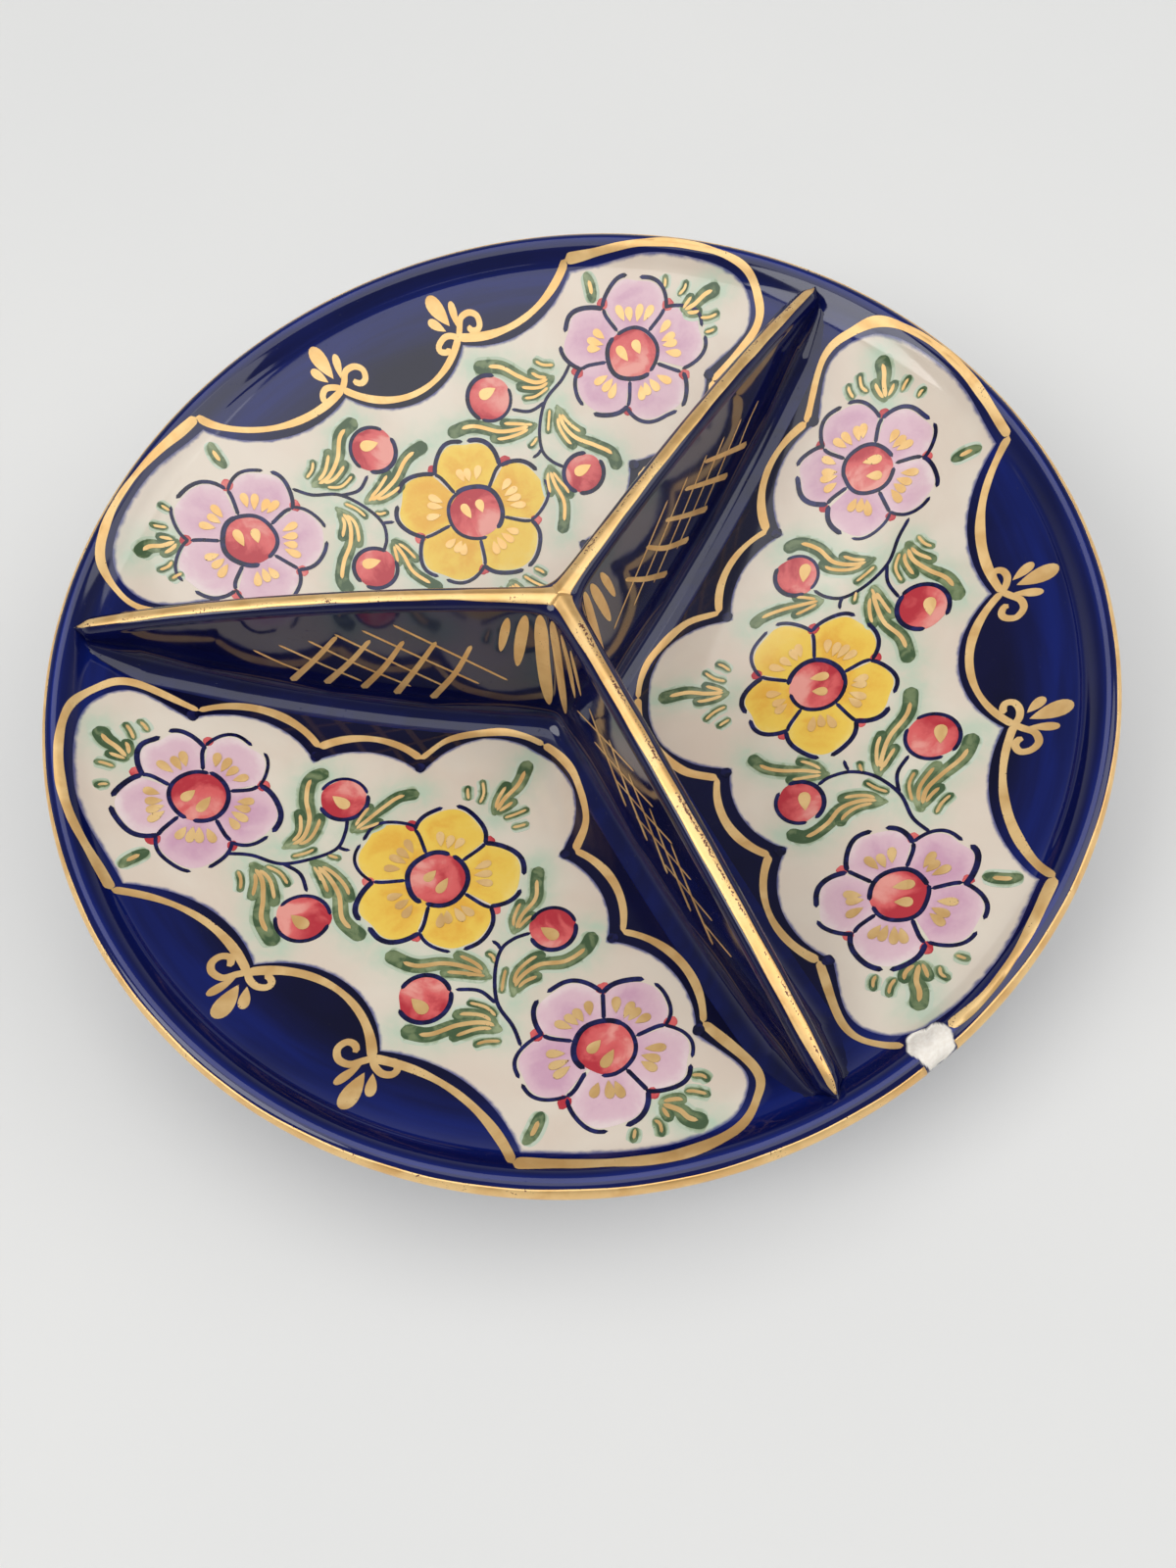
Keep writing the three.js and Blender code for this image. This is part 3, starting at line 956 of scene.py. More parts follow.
# %% Gilding on the crests
CREST_GILD = 0.31  # share of the quarter round of the crest, to each side of its top
CREST_TIP = 5.9  # from the rim's edge to the tip of the gold
CREST_TAPER = 16.0  # length over which it narrows towards the tip
CREST_NARROW = 0.3  # share of its width that it loses there
HUB_DROOP = 0.16  # by which it runs further down at the hub
DROOP_RUN = (26, 4)  # from the hub, where the droop begins and where it is full
DROOP_SIDES = np.array([[0.6], [1.0]])  # share of the droop on the right and on the left side
CREST_RUB = 0.22  # how much a crest is rubbed all over
WORN_SIDE = 0.45  # where it is rubbed most, from -1 to 1 across it
WORN_WIDTH = 0.3
WORN_RUN = (2, 12)  # from the hub, where that begins and where it is full
CREST_WORN = {"left": 0.22, "front_right": 0.46, "back_right": 0.32}  # how much more it is rubbed there
CREST_WAVES = ((5, 0.05, 1), (2.1, 0.04, 2))  # length, size and share of the phase, of its edges' wavering
PHASE_STEP = 1.7  # so that no two crests waver alike
across = np.linspace(-1, 1, 21)
crest_shares = np.linspace(0, 1, 170)


def crest_gold(name, angle, phase, worn):
    """A skin of gold over one crest, wavy at its edges and rubbed along one shoulder."""
    tip = rim_radius - CREST_TIP
    along = crest_shares * tip
    narrow = 1 - CREST_NARROW * smooth_step(along, tip - CREST_TAPER, tip)
    drift = sum(size * np.sin(along / length + turns * phase) for length, size, turns in CREST_WAVES)
    droop = HUB_DROOP * smooth_step(along, *DROOP_RUN)
    edge = CREST_GILD * narrow * (1 + drift) + droop * DROOP_SIDES
    limit = np.where(across[:, None] < 0, edge[0], edge[1])
    row = np.abs(across)[:, None] * limit
    reach = wall_reach(np.array(tip), np.abs(across) * CREST_GILD)[:, None] * crest_shares
    side = np.where(across < 0, -1, 1)[:, None, None] * np.array([0, 1, 0]) + np.array([1, 0, 1])
    surface = wall_point(reach, row) * side
    normal = wall_normal(reach, row) * side
    inset = (1 - np.abs(across))[:, None] + 0 * reach
    top = surface + normal * film(inset)[..., None]
    shoulder = np.exp(-(((across[:, None] - WORN_SIDE) / WORN_WIDTH) ** 2))
    rub = CREST_RUB + worn * (shoulder * smooth_step(along, *WORN_RUN))
    points, faces = slab(top, surface - normal * GOLD_SINK)
    make_piece(
        f"crest_gold_{name}", turn_points(points, angle), faces, gold_crest,
        [f"crest_gilding_{name}"],
        marks={"inset": np.tile(inset.ravel(), 2), "rub": np.tile(rub.ravel(), 2)},
    )


for phase, (name, angle) in enumerate(DIVIDERS.items()):
    crest_gold(name, angle, phase * PHASE_STEP, CREST_WORN[name])

# %% [markdown]
# ## Brush tools
# The painting is laid on as thin closed pads and ribbons, a few hundredths of a millimetre thick, because
# real underglaze paint and fired gold have an edge and catch the light there. Two tools are enough. A
# **stroke** is a ribbon along a path, slightly domed, and a **dab** is a pad inside an outline. Both work
# on flat paper first, and a `lay` function puts the paper's points on the pottery: onto the bowl for the
# panels, and onto a divider's face for the lattice.

# %% Curves on paper
SPACING = 0.6  # between the points of a drawn line
SPAN_STEPS = 30  # of a curve, from one given point to the next
ARC_STEPS = 81
FULL_TURN = 6.3  # radians, about once round
DROP_BREADTH = 1.3  # makes a teardrop as broad as its width says


def resample(path, spacing):
    """The same path with even steps."""
    path = np.asarray(path, float)
    length = way_along(path)
    even = np.linspace(0, length[-1], max(int(round(length[-1] / spacing)), 4) + 1)
    return np.stack([np.interp(even, length, path[:, axis]) for axis in (0, 1)], -1)


def curve(points, spacing=SPACING):
    """A smooth curve through a few points."""
    points = np.asarray(points, float)
    padded = np.vstack([2 * points[0] - points[1], points, 2 * points[-1] - points[-2]])
    t = np.linspace(0, 1, SPAN_STEPS, endpoint=False)[:, None]
    parts = []
    for a, b, c, d in zip(padded, padded[1:], padded[2:], padded[3:]):
        parts.append(b + 0.5 * t * (c - a + t * (2 * a - 5 * b + 4 * c - d + t * (3 * b - a - 3 * c + d))))
    return resample(np.vstack([*parts, points[-1:]]), spacing)


def arc(start, middle, end, spacing=SPACING):
    """A circular arc through three points."""
    a, b, c = (np.asarray(point, float) for point in (start, middle, end))
    centre = np.linalg.solve(2 * np.array([b - a, c - a]), [b @ b - a @ a, c @ c - a @ a])
    angles = np.unwrap([math.atan2(*(point - centre)[::-1]) for point in (a, b, c)])
    turn = np.interp(np.linspace(0, 2, ARC_STEPS), [0, 1, 2], angles)
    radius = np.linalg.norm(a - centre)
    return resample(centre + radius * np.stack([np.cos(turn), np.sin(turn)], -1), spacing)


def teardrop(start, tip, width, steps=22):
    """Outline of a dab that is pointed at its start and round at its tip."""
    start, tip = np.asarray(start, float), np.asarray(tip, float)
    ahead = tip - start
    left = np.array([-ahead[1], ahead[0]]) / np.linalg.norm(ahead)
    turn = np.linspace(0, 2 * math.pi, steps, endpoint=False)
    along = (1 - np.cos(turn)) / 2
    aside = -DROP_BREADTH * np.sin(turn) * np.sin(turn / 2) * width / 2
    return start + along[:, None] * ahead + aside[:, None] * left


def blob(centre, radius, brush, steps=40, wobble=0.03):
    """A round outline with the small unevenness of a brush."""
    turn = np.linspace(0, 2 * math.pi, steps, endpoint=False)
    reach = radius * np.ones(steps)
    for count in (2, 3, 5):
        swell = radius * wobble * brush.uniform(0.3, 1)
        reach = reach + swell * np.sin(count * turn + brush.uniform(0, FULL_TURN))
    return np.asarray(centre) + reach[:, None] * np.stack([np.cos(turn), np.sin(turn)], -1)


print("a test arc has", len(arc((0, 0), (5, 5), (10, 0))), "points")

# %% Paint box
LAYER_STEP = 0.0006  # each new stroke of a paint lies this much higher than the one before
LAYERS = 60  # after so many strokes the height starts again


class Paint:
    """All the strokes and dabs of one paint, which become one piece."""

    def __init__(self, lift, dome=0.0):
        self.lift = lift
        self.dome = dome
        self.points, self.normals, self.faces = [], [], []
        self.marks = {"inset": [], "along": [], "tone": []}
        self.count = 0
        self.layers = 0

    def add(self, points, normals, faces, inset, along, tone):
        """Adds one closed pad or ribbon."""
        self.points.append(points)
        self.normals.append(normals)
        self.faces += [[corner + self.count for corner in face] for face in faces]
        for label, values in (("inset", inset), ("along", along), ("tone", np.full(len(points), tone))):
            self.marks[label].append(values)
        self.count += len(points)
        self.layers += 1

    def next_lift(self):
        """Height of the next stroke over the surface."""
        return self.lift + LAYER_STEP * (self.layers % LAYERS)

    def piece(self, name, material, slot):
        """Makes the piece."""
        make_piece(
            name, np.concatenate(self.points), self.faces, material,
            normals=np.concatenate(self.normals),
            marks={label: np.concatenate(values) for label, values in self.marks.items()},
        )


print("the strokes of one paint rise by up to", round(LAYER_STEP * (LAYERS - 1), 3), "mm")

# %% Strokes
UNDERSIDE = 0.03  # by which a pad's underside lies below the surface
ACROSS = np.array([-1, -0.6, 0, 0.6, 1])  # places of the points across a stroke
THIN_END = 0.08  # share of its width that a stroke keeps at its ends


def brush_half(path, width, start=1.0, end=1.0):
    """Half widths along a stroke that starts and ends round, or long and thin for larger start and end."""
    length = way_along(path)
    half = width / 2
    ahead = np.clip(length / (half * start), 0, 1)
    behind = np.clip((length[-1] - length) / (half * end), 0, 1)
    shape = np.sqrt(1 - (1 - ahead) ** 2) * np.sqrt(1 - (1 - behind) ** 2)
    return half * np.maximum(shape, THIN_END)


def stroke(paint, lay, path, half, tone=0.5, flip=False):
    """Lays a ribbon along a path on the surface that lay gives."""
    ahead = np.gradient(path, axis=0)
    ahead /= np.maximum(np.linalg.norm(ahead, axis=1, keepdims=True), TINY)
    left = np.stack([-ahead[:, 1], ahead[:, 0]], -1)
    half = np.broadcast_to(half, len(path))
    paper = path[:, None] + left[:, None] * ACROSS[None, :, None] * half[:, None, None]
    count = len(path)
    points, normals = (values.reshape(count, len(ACROSS), 3) for values in lay(paper.reshape(-1, 2)))
    raised = paint.next_lift() + paint.dome * (1 - ACROSS**2)
    top = points + normals * raised[None, :, None]
    under = (points - normals * UNDERSIDE)[:, [-1, 0]]
    rings = np.concatenate([top, under], axis=1)
    sides = rings.shape[1]
    index = np.arange(count * sides).reshape(count, sides)
    after = np.roll(index, -1, axis=1)
    faces = strip_faces(index, after).reshape(-1, 4).tolist()
    faces += [index[0].tolist(), index[-1, ::-1].tolist()]
    if flip:
        faces = [face[::-1] for face in faces]
    directions = np.concatenate([normals, -normals[:, [-1, 0]]], axis=1)
    inset = np.tile(np.concatenate([1 - np.abs(ACROSS), [0, 0]]), count)
    along = np.repeat(np.linspace(0, 1, count), sides)
    paint.add(rings.reshape(-1, 3), directions.reshape(-1, 3), faces, inset, along, tone)


print("a stroke has", len(ACROSS), "points across")

# %% Dabs
RINGS = np.array([1.0, 0.9, 0.66, 0.33])  # shares of a dab's outline where its rings of points lie


def dab(paint, lay, outline, tone=0.5, shade=None):
    """Lays a pad inside an outline that runs counter-clockwise. Shade gives its load from 0 to 1."""
    outline = np.asarray(outline, float)
    count = len(outline)
    middle = outline.mean(axis=0)
    paper = middle + RINGS[:, None, None] * (outline - middle)
    paper = np.concatenate([paper.reshape(-1, 2), middle[None]])
    points, normals = lay(paper)
    shares = np.concatenate([np.repeat(RINGS, count), [0]])
    top = points + normals * (paint.next_lift() + paint.dome * (1 - shares**2))[:, None]
    below = points - normals * UNDERSIDE
    under = np.concatenate([below[:count], below[-1:]])
    ring = np.arange(count)
    after = np.roll(ring, -1)
    peak = len(top) - 1
    inner = (len(RINGS) - 1) * count
    base = len(top)
    faces = grid_faces(len(RINGS), count, around=True).tolist()
    faces += np.stack([inner + ring, inner + after, np.full(count, peak)], -1).tolist()
    faces += np.stack([base + ring, base + after, after, ring], -1).tolist()
    faces += np.stack([base + after, base + ring, np.full(count, base + count)], -1).tolist()
    directions = np.concatenate([normals, -normals[:count], -normals[-1:]])
    inset = np.concatenate([1 - shares, np.zeros(count + 1)])
    load = np.full(len(paper), 0.5) if shade is None else shade(paper)
    load = np.concatenate([load, load[:count], load[-1:]])
    paint.add(np.concatenate([top, under]), directions, faces, inset, load, tone)


print("a dab has", len(RINGS), "rings")

# %% Laying paper on the pottery
SLOPE_STEP = 0.05  # to each side of a point, for the slope there
LEAST_FILLET, LEAST_FACE = 0.01, 0.1  # where a wall is too low to have them
TOP_ROW = 0.5  # of the crest, above which no paint goes
PANELS = {"right": 0, "back_left": 120, "front_left": 240}  # direction of each panel's middle


def panel_height(paper):
    """Height of a compartment's floor, with the fillets of the walls beside it."""
    out, aside = paper[:, 0], paper[:, 1]
    along = out * COS60 + np.abs(aside) * SIN60
    off = out * SIN60 - COS60 * np.sqrt(aside**2 + CORNER_ROUND**2)
    toe, _ = wall_section(along, 3.0)
    foot, _ = wall_section(along, 2.0)
    fillet = np.maximum(toe - foot, LEAST_FILLET)
    into = np.clip(toe - off, 0, fillet)
    return inside_height(np.hypot(out, aside)) + fillet - np.sqrt(fillet**2 - into**2)


def lay_panel(angle):
    """Puts a panel's paper, out along its middle and aside from it, on the floor of a compartment."""
    def lay(paper):
        height = panel_height(paper)
        slopes = []
        for step in SLOPE_STEP * np.eye(2):
            rise = panel_height(paper + step) - panel_height(paper - step)
            slopes.append(rise / (2 * SLOPE_STEP))
        normals = unit(np.stack([-slopes[0], -slopes[1], np.ones(len(paper))], -1))
        return turn_points(np.column_stack([paper, height]), angle), turn_points(normals, angle)

    return lay


def lay_wall(angle, side):
    """Puts paper, along a divider and up from the rim's level, on one of its sides: 1 left, -1 right."""
    mirror = np.array([1, side, 1])

    def lay(paper):
        along, up = paper[:, 0], paper[:, 1]
        level = rim_height + up - inside_height(along)
        _, shoulder = wall_section(along, 1.0)
        _, fillet = wall_section(along, 2.0)
        down = 1 + (shoulder - level) / np.maximum(shoulder - fillet, LEAST_FACE)
        low = 2 + np.arcsin(np.clip(1 - level / fillet, 0, 1)) / (math.pi / 2)
        row = np.where(level > fillet, np.maximum(down, TOP_ROW), low)
        reach = wall_reach(along, row)
        points = wall_point(reach, row) * mirror
        normals = wall_normal(reach, row) * mirror
        return turn_points(points, angle), turn_points(normals, angle)

    return lay


test_points, _ = lay_panel(0)(np.array([[60.0, 0.0], [100.0, 0.0]]))
print("a panel's floor rises from", test_points[0, 2].round(1), "to", test_points[1, 2].round(1), "mm")

# %% [markdown]
# ## The reserves
# Each compartment has a cream panel that was kept free of cobalt, with scalloped edges. Its outline is
# a dozen named places and the arcs between them, mirrored about the panel's middle. The panel is
# filled with a net of triangles, and each point knows how far it is from the outline, so that the cobalt
# can bleed into the cream there. It also knows how near it is to a leaf, where the painter's green wash
# tints the cream.

# %% Places on the outlines
RESERVE = {
    "hub_tip": (17.8, 0.0),
    "hub_lobe": [(18.3, 6.3), (21.7, 13.3), (29.0, 18.4)],
    "hub_cusp": (38.0, 20.5),
    "inner_lobe": (39.6, 31.4),
    "inner_cusp": (50.3, 41.9),
    "outer_lobe": (49.4, 58.5),
    "outer_cusp": (58.9, 69.6),
    "rim_run": [(60.8, 81.5), (66.2, 86.3), (73.4, 86.0), (82.6, 79.3), (91.6, 68.4)],
    "shoulder": (98.9, 53.2),
    "side_dip": (92.6, 33.0),
    "junction": (97.0, 17.0),
    "centre_dip": (89.3, 0.0),
}
GILT = {
    "hub_tip": (15.2, 0.0),
    "hub_lobe": [(16.1, 6.5), (19.1, 12.4), (26.5, 20.0)],
    "hub_cusp": (35.0, 22.6),
    "inner_lobe": (36.8, 34.0),
    "inner_cusp": (46.7, 43.4),
    "outer_lobe": (47.1, 60.0),
    "outer_cusp": (56.1, 69.6),
    "rim_run": [(60.0, 84.2), (66.6, 88.6), (74.4, 87.9), (84.4, 80.8), (93.4, 69.3)],
    "shoulder": (101.2, 53.4),
    "side_dip": (95.3, 34.0),
    "junction": (99.0, 16.8),
    "centre_dip": (91.5, 0.0),
}
print(len(RESERVE), "named places on each outline")

# %% Outlines of the panels
END_DRIFT = {  # by panel and side: how far its end keeps off the rim, and how far its shoulder slides
    ("right", 1): (0.0, 0.0),
    ("right", -1): (0.3, 1.4),
    ("back_left", 1): (0.2, 0.2),
    ("back_left", -1): (0.4, -3.0),
    ("front_left", 1): (2.6, 0.6),
    ("front_left", -1): (1.2, -3.2),
}
END_NEAR = (98, 110)  # distances from the axis between which the end begins
SHOULDER_PULL = 0.4  # share of the pull that reaches the shoulder


def drawn(points, panel, side):
    """The places of an outline as the painter's hand put them at one end of one panel."""
    pull, slide = END_DRIFT[panel, side]
    run = np.array(points["rim_run"])
    near = smooth_step(np.hypot(*run.T), *END_NEAR)
    moved = dict(points)
    moved["rim_run"] = run * (1 - pull * near / rim_radius)[:, None]
    moved["shoulder"] = np.array(points["shoulder"]) + (-SHOULDER_PULL * pull, slide)
    return moved


def half_strokes(points):
    """The strokes of one half of an outline, from the hub out to the middle of the rim side."""
    p = points
    mirrored = (p["hub_lobe"][0][0], -p["hub_lobe"][0][1])
    hub = curve([mirrored, p["hub_tip"], *p["hub_lobe"], p["hub_cusp"]])
    return [
        hub[np.argmin(np.abs(hub[:, 1])):],
        arc(p["hub_cusp"], p["inner_lobe"], p["inner_cusp"]),
        arc(p["inner_cusp"], p["outer_lobe"], p["outer_cusp"]),
        curve([p["outer_cusp"], *p["rim_run"], p["shoulder"]]),
        arc(p["shoulder"], p["side_dip"], p["junction"]),
        arc(p["junction"], p["centre_dip"], (p["junction"][0], -p["junction"][1])),
    ]


def half_outline(panel, side):
    """One half of a reserve's outline, from the hub to just before the middle of the rim side."""
    half = half_strokes(drawn(RESERVE, panel, side))
    half[-1] = half[-1][: len(half[-1]) // 2 + 1]
    return np.vstack([part[:-1] for part in half]) * (1, side)


def reserve_outline(panel):
    """The whole outline of a reserve, counter-clockwise."""
    right, left = half_outline(panel, 1), half_outline(panel, -1)
    middle = np.array([RESERVE["centre_dip"]])
    return np.vstack([right, middle, left[:0:-1]])[::-1]


outlines = {name: reserve_outline(name) for name in PANELS}
print("a reserve's outline has", len(outlines["right"]), "points")

# %% Plan of the leaves
MIRROR = np.array([1, -1])
HALVES = (np.array([1, 1]), MIRROR)  # a panel's right half, and the left one
LEAVES = [  # spine from base to tip on the right half of a panel, and half the breadth
    ([(79.6, 35.0), (80.6, 30.4), (84.2, 26.4), (88.6, 22.9), (91.1, 17.2)], 1.7),
    ([(71.2, 25.4), (72.0, 20.2), (74.4, 15.0), (78.0, 9.6), (79.4, 3.2)], 1.7),
    ([(72.8, 32.1), (67.9, 31.0), (63.1, 32.6), (59.2, 36.4), (54.6, 39.0), (50.4, 38.0)], 1.7),
    ([(60.4, 23.2), (55.4, 22.2), (50.4, 21.6), (46.0, 20.0), (42.8, 17.4)], 1.55),
    ([(75.4, 70.8), (74.6, 74.6), (74.8, 78.0), (73.4, 81.2)], 1.75),
]
HUB_SPRIG = ([(38.0, 0.8), (32.4, 0.5), (27.0, 1.2), (20.6, -0.5)], 1.75)
LEAF_SHIFT = 0.4  # how far a free hand strays
FIRST_SEED = 7


def shifted(points, brush, amount):
    """Points moved a little, as a free hand does."""
    moved = []
    for point in points:
        moved.append(np.asarray(point) + (brush.uniform(-amount, amount), brush.uniform(-amount, amount)))
    return moved


panel_brush = {name: random.Random(FIRST_SEED + number) for number, name in enumerate(PANELS)}
leaf_plan = {}
for name, brush in panel_brush.items():
    plan = []
    for spine, breadth in LEAVES:
        for side in HALVES:
            plan.append((shifted(np.asarray(spine) * side, brush, LEAF_SHIFT), breadth))
    spine, breadth = HUB_SPRIG
    plan.append((shifted(spine, brush, LEAF_SHIFT), breadth))
    leaf_plan[name] = plan
print(sum(len(plan) for plan in leaf_plan.values()), "leaves planned")

# %% Net of a reserve
NET_STEP = 2.2
HEMS = (0.5, 1.1, 1.7)  # distances of the rows of points inside the outline
HEM_CLEAR = 0.88  # share of that distance which such a point keeps from all of the outline
GRID_CLEAR = 2.3  # what the other points keep from it
RING_CLEAR = 1.95
RING_BANDS = np.arange(-3.0, 4.1, 0.5)  # rows of points along the crease, where the floor bends
RING_TURNS = np.arange(-58, 58, 0.7)  # degrees
GRID_GAP = 3.4  # from the crease to the even grid inside it
INSIDE_ONLY = 1  # tells the filler to keep what lies inside the outline
WELD = 1e-4  # points closer than this become one


def nearest(points, others):
    """Distance of each point from the nearest of the others."""
    return np.linalg.norm(points[:, None] - others[None], axis=2).min(axis=1)


def reserve_net(outline):
    """Points and triangles that fill an outline, finer near its edge."""
    ahead = np.roll(outline, -1, axis=0) - np.roll(outline, 1, axis=0)
    inward = unit(np.stack([-ahead[:, 1], ahead[:, 0]], -1))
    net = [outline]
    low, high = outline.min(axis=0), outline.max(axis=0)
    grid = np.meshgrid(*(np.arange(first, last, NET_STEP) for first, last in zip(low, high)))
    grid = np.stack(grid, -1).reshape(-1, 2)
    grid[:, 0] += 0.5 * NET_STEP * (np.round((grid[:, 1] - low[1]) / NET_STEP) % 2)
    bands = crease_radius + RING_BANDS
    turn = np.radians(RING_TURNS)
    rings = np.stack([np.outer(bands, np.cos(turn)), np.outer(bands, np.sin(turn))], -1).reshape(-1, 2)
    grid = grid[np.hypot(*grid.T) < crease_radius - GRID_GAP]
    hems = [(outline + hem * inward, HEM_CLEAR * hem) for hem in HEMS]
    for points, clear in (*hems, (grid, GRID_CLEAR), (rings, RING_CLEAR)):
        net.append(points[nearest(points, outline) > clear])
    net = np.concatenate(net)
    count = len(outline)
    edges = [(i, (i + 1) % count) for i in range(count)]
    made = geometry.delaunay_2d_cdt([Vector(point) for point in net], edges, [], INSIDE_ONLY, WELD)
    points = np.array([list(point) for point in made[0]])
    used, faces = np.unique([list(face) for face in made[2]], return_inverse=True)
    points, faces = points[used], faces.reshape(-1, 3)
    a, b, c = (points[faces[:, k]] for k in range(3))
    area = (b[:, 0] - a[:, 0]) * (c[:, 1] - a[:, 1]) - (b[:, 1] - a[:, 1]) * (c[:, 0] - a[:, 0])
    faces[area < 0] = faces[area < 0][:, ::-1]
    return points, faces


def open_edges(faces):
    """Edges that only one triangle uses, in its direction."""
    used = {(int(face[k]), int(face[(k + 1) % 3])) for face in faces for k in range(3)}
    return [edge for edge in used if edge[::-1] not in used]


nets = {name: reserve_net(outlines[name]) for name in PANELS}
print("a reserve has", len(nets["right"][0]), "points and", len(nets["right"][1]), "triangles")

# %% Reserves
RESERVE_LIFT = 0.04
WASH_REACH = 4.5  # from a leaf, over which its wash fades

all_points, all_normals, all_faces, all_bleed, all_wash = [], [], [], [], []
count = 0
for name, angle in PANELS.items():
    net, triangles = nets[name]
    points, normals = lay_panel(angle)(net)
    spines = np.concatenate([curve(spine, 1.0) for spine, _ in leaf_plan[name]])
    near_leaf = nearest(net, spines)
    bleed = nearest(net, outlines[name])
    under = count + len(net)
    all_points += [points + normals * RESERVE_LIFT, points - normals * UNDERSIDE]
    all_normals += [normals, -normals]
    all_faces += (triangles + count).tolist() + (triangles[:, ::-1] + under).tolist()
    all_faces += [[b + count, a + count, a + under, b + under] for a, b in open_edges(triangles)]
    all_bleed.append(np.tile(bleed, 2))
    all_wash.append(np.tile(np.exp(-((near_leaf / WASH_REACH) ** 2)), 2))
    count += 2 * len(net)
print(count, "points on the tops and undersides of the reserves")

# %% [markdown]
# The cream is never one flat white. It is a warm glaze with a little grey and pink in it, the cobalt
# bleeds into it along the outline, and the wash round the leaves makes it minty.

# %% Cream of the reserves
CREAM_LIGHT = chart(234, 222, 205)
CREAM_WARM = chart(228, 211, 193)
CREAM_CLOUDS = 45.0
MINT = chart(192, 212, 188)
MINT_CLOUDS = 240.0
BLEED = chart(62, 72, 136)
BLEED_FINENESS = 420.0
BLEED_SWING = 0.9  # millimetres by which the edge of the bleeding cobalt wavers
BLEED_START = -0.35


def reserve_cream():
    """Warm white glaze with cobalt bleeding in from its edge and a green wash round the leaves."""
    material, tree, shader = glazed("reserve_cream")
    spot = place(tree)
    warm = ramp(tree, noise(tree, spot, CREAM_CLOUDS, 4.0, 0.4), 0.3, 0.7)
    colour = mix_colour(tree, warm, CREAM_LIGHT, CREAM_WARM)
    wet = noise(tree, spot, MINT_CLOUDS, 3.0, 0.5)
    wash = sums(tree, "MULTIPLY", mark(tree, "wash"), ramp(tree, wet, 0.25, 0.7, 0.45, 1.0))
    colour = mix_colour(tree, wash, colour, MINT)
    ragged = sums(tree, "MULTIPLY_ADD", noise(tree, spot, BLEED_FINENESS, 3.0), BLEED_SWING)
    join(ragged.node, {2: BLEED_START})
    inside = sums(tree, "SUBTRACT", mark(tree, "bleed"), ragged)
    colour = mix_colour(tree, ramp(tree, inside, -0.1, 0.7, 0.9, 0.0), colour, BLEED)
    join(shader, {"Base Color": colour})
    return material


make_piece(
    "reserve_panels", np.concatenate(all_points), all_faces, reserve_cream(),
    normals=np.concatenate(all_normals),
    marks={"bleed": np.concatenate(all_bleed), "wash": np.concatenate(all_wash)},
)

# %% [markdown]
# ## The paints
# Six paints fill the panels: lilac and yellow for the petals, red for hearts and buds, green for leaves,
# navy for the drawn lines, and gold for veins, dabs and outlines. Each is collected as one piece. The green
# has a second one for its paler wash, and the gold has one each for dabs, outlines and lattice. They lie
# over one another in the order that a painter uses, so each has its own lift over the cream.

# %% Finishes of the paints
TONE_LOAD = 0.35  # by which a stroke's own tone thickens the paint


def wash_paint(name, colours, cloud, mottle, pooling, pool_width, sweep):
    """A watery underglaze colour between its thin and its pooled state."""
    thin_colour, middle_colour, pooled_colour = (chart(*colour) for colour in colours)
    material, tree, shader = glazed(name)
    inputs = {"Inset": mark(tree, "inset"), "Cloud": cloud, "Mottle": mottle}
    inputs |= {"Pooling": pooling, "Pool width": pool_width}
    wash = add_node(tree, "ShaderNodeGroup", inputs, node_tree=pigment_wash)
    loaded = sums(tree, "MULTIPLY", mark(tree, "tone"), TONE_LOAD)
    thickening = ramp(tree, mark(tree, "along"), 0.0, 1.0, -sweep / 2, sweep / 2)
    density = sums(tree, "ADD", wash.outputs["Density"], sums(tree, "ADD", loaded, thickening))
    colour = mix_colour(tree, ramp(tree, density, 0.0, 0.7), thin_colour, middle_colour)
    colour = mix_colour(tree, ramp(tree, density, 0.65, 1.3), colour, pooled_colour)
    join(shader, {"Base Color": colour})
    return material


# Each row has the thin, the middle and the pooled colour, then the fineness of the clouds, the mottle, the
# pooling at an edge, the width of that pool, and how much the paint thickens along a stroke.
PAINTS = {
    "lilac": (((240, 221, 218), (228, 192, 202), (213, 166, 188)), 110, 0.4, -0.35, 0.5, 0.6),
    "yellow": (((249, 224, 130), (246, 207, 90), (238, 178, 70)), 110, 0.45, -0.25, 0.4, 0.5),
    "red": (((240, 162, 150), (225, 103, 102), (189, 56, 66)), 120, 0.9, 0.2, 0.3, 1.1),
    "leaf_wash": (((208, 218, 199), (168, 184, 153), (132, 150, 113)), 260, 1.0, -0.9, 0.5, 0.0),
    "leaf": (((158, 170, 131), (117, 133, 95), (72, 95, 65)), 260, 0.9, 0.3, 0.6, 0.5),
    "navy": (((38, 42, 100), (24, 25, 72), (14, 14, 46)), 400, 1.0, 0.2, 0.4, 0.0),
}
finishes = {name: wash_paint(f"{name}_paint", *recipe) for name, recipe in PAINTS.items()}
print("paints:", ", ".join(finish.name for finish in finishes.values()))

# %% Paint boxes
FIRST_LIFT, SECOND_LIFT, LINE_LIFT, GOLD_LIFT = 0.05, 0.09, 0.13, 0.17  # over the glaze, from the bottom up
lilac = Paint(FIRST_LIFT)
yellow = Paint(FIRST_LIFT)
leaf_wash = Paint(FIRST_LIFT)
green = Paint(SECOND_LIFT)
red = Paint(SECOND_LIFT)
navy = Paint(LINE_LIFT, dome=0.02)
gold_dabs = Paint(GOLD_LIFT, dome=0.03)
gold_outline = Paint(0.06, dome=0.07)  # lies on the cobalt, not on paint
gold_lattice = Paint(0.03, dome=0.05)
print("gold lies", round(GOLD_LIFT - LINE_LIFT, 2), "mm over the navy lines")

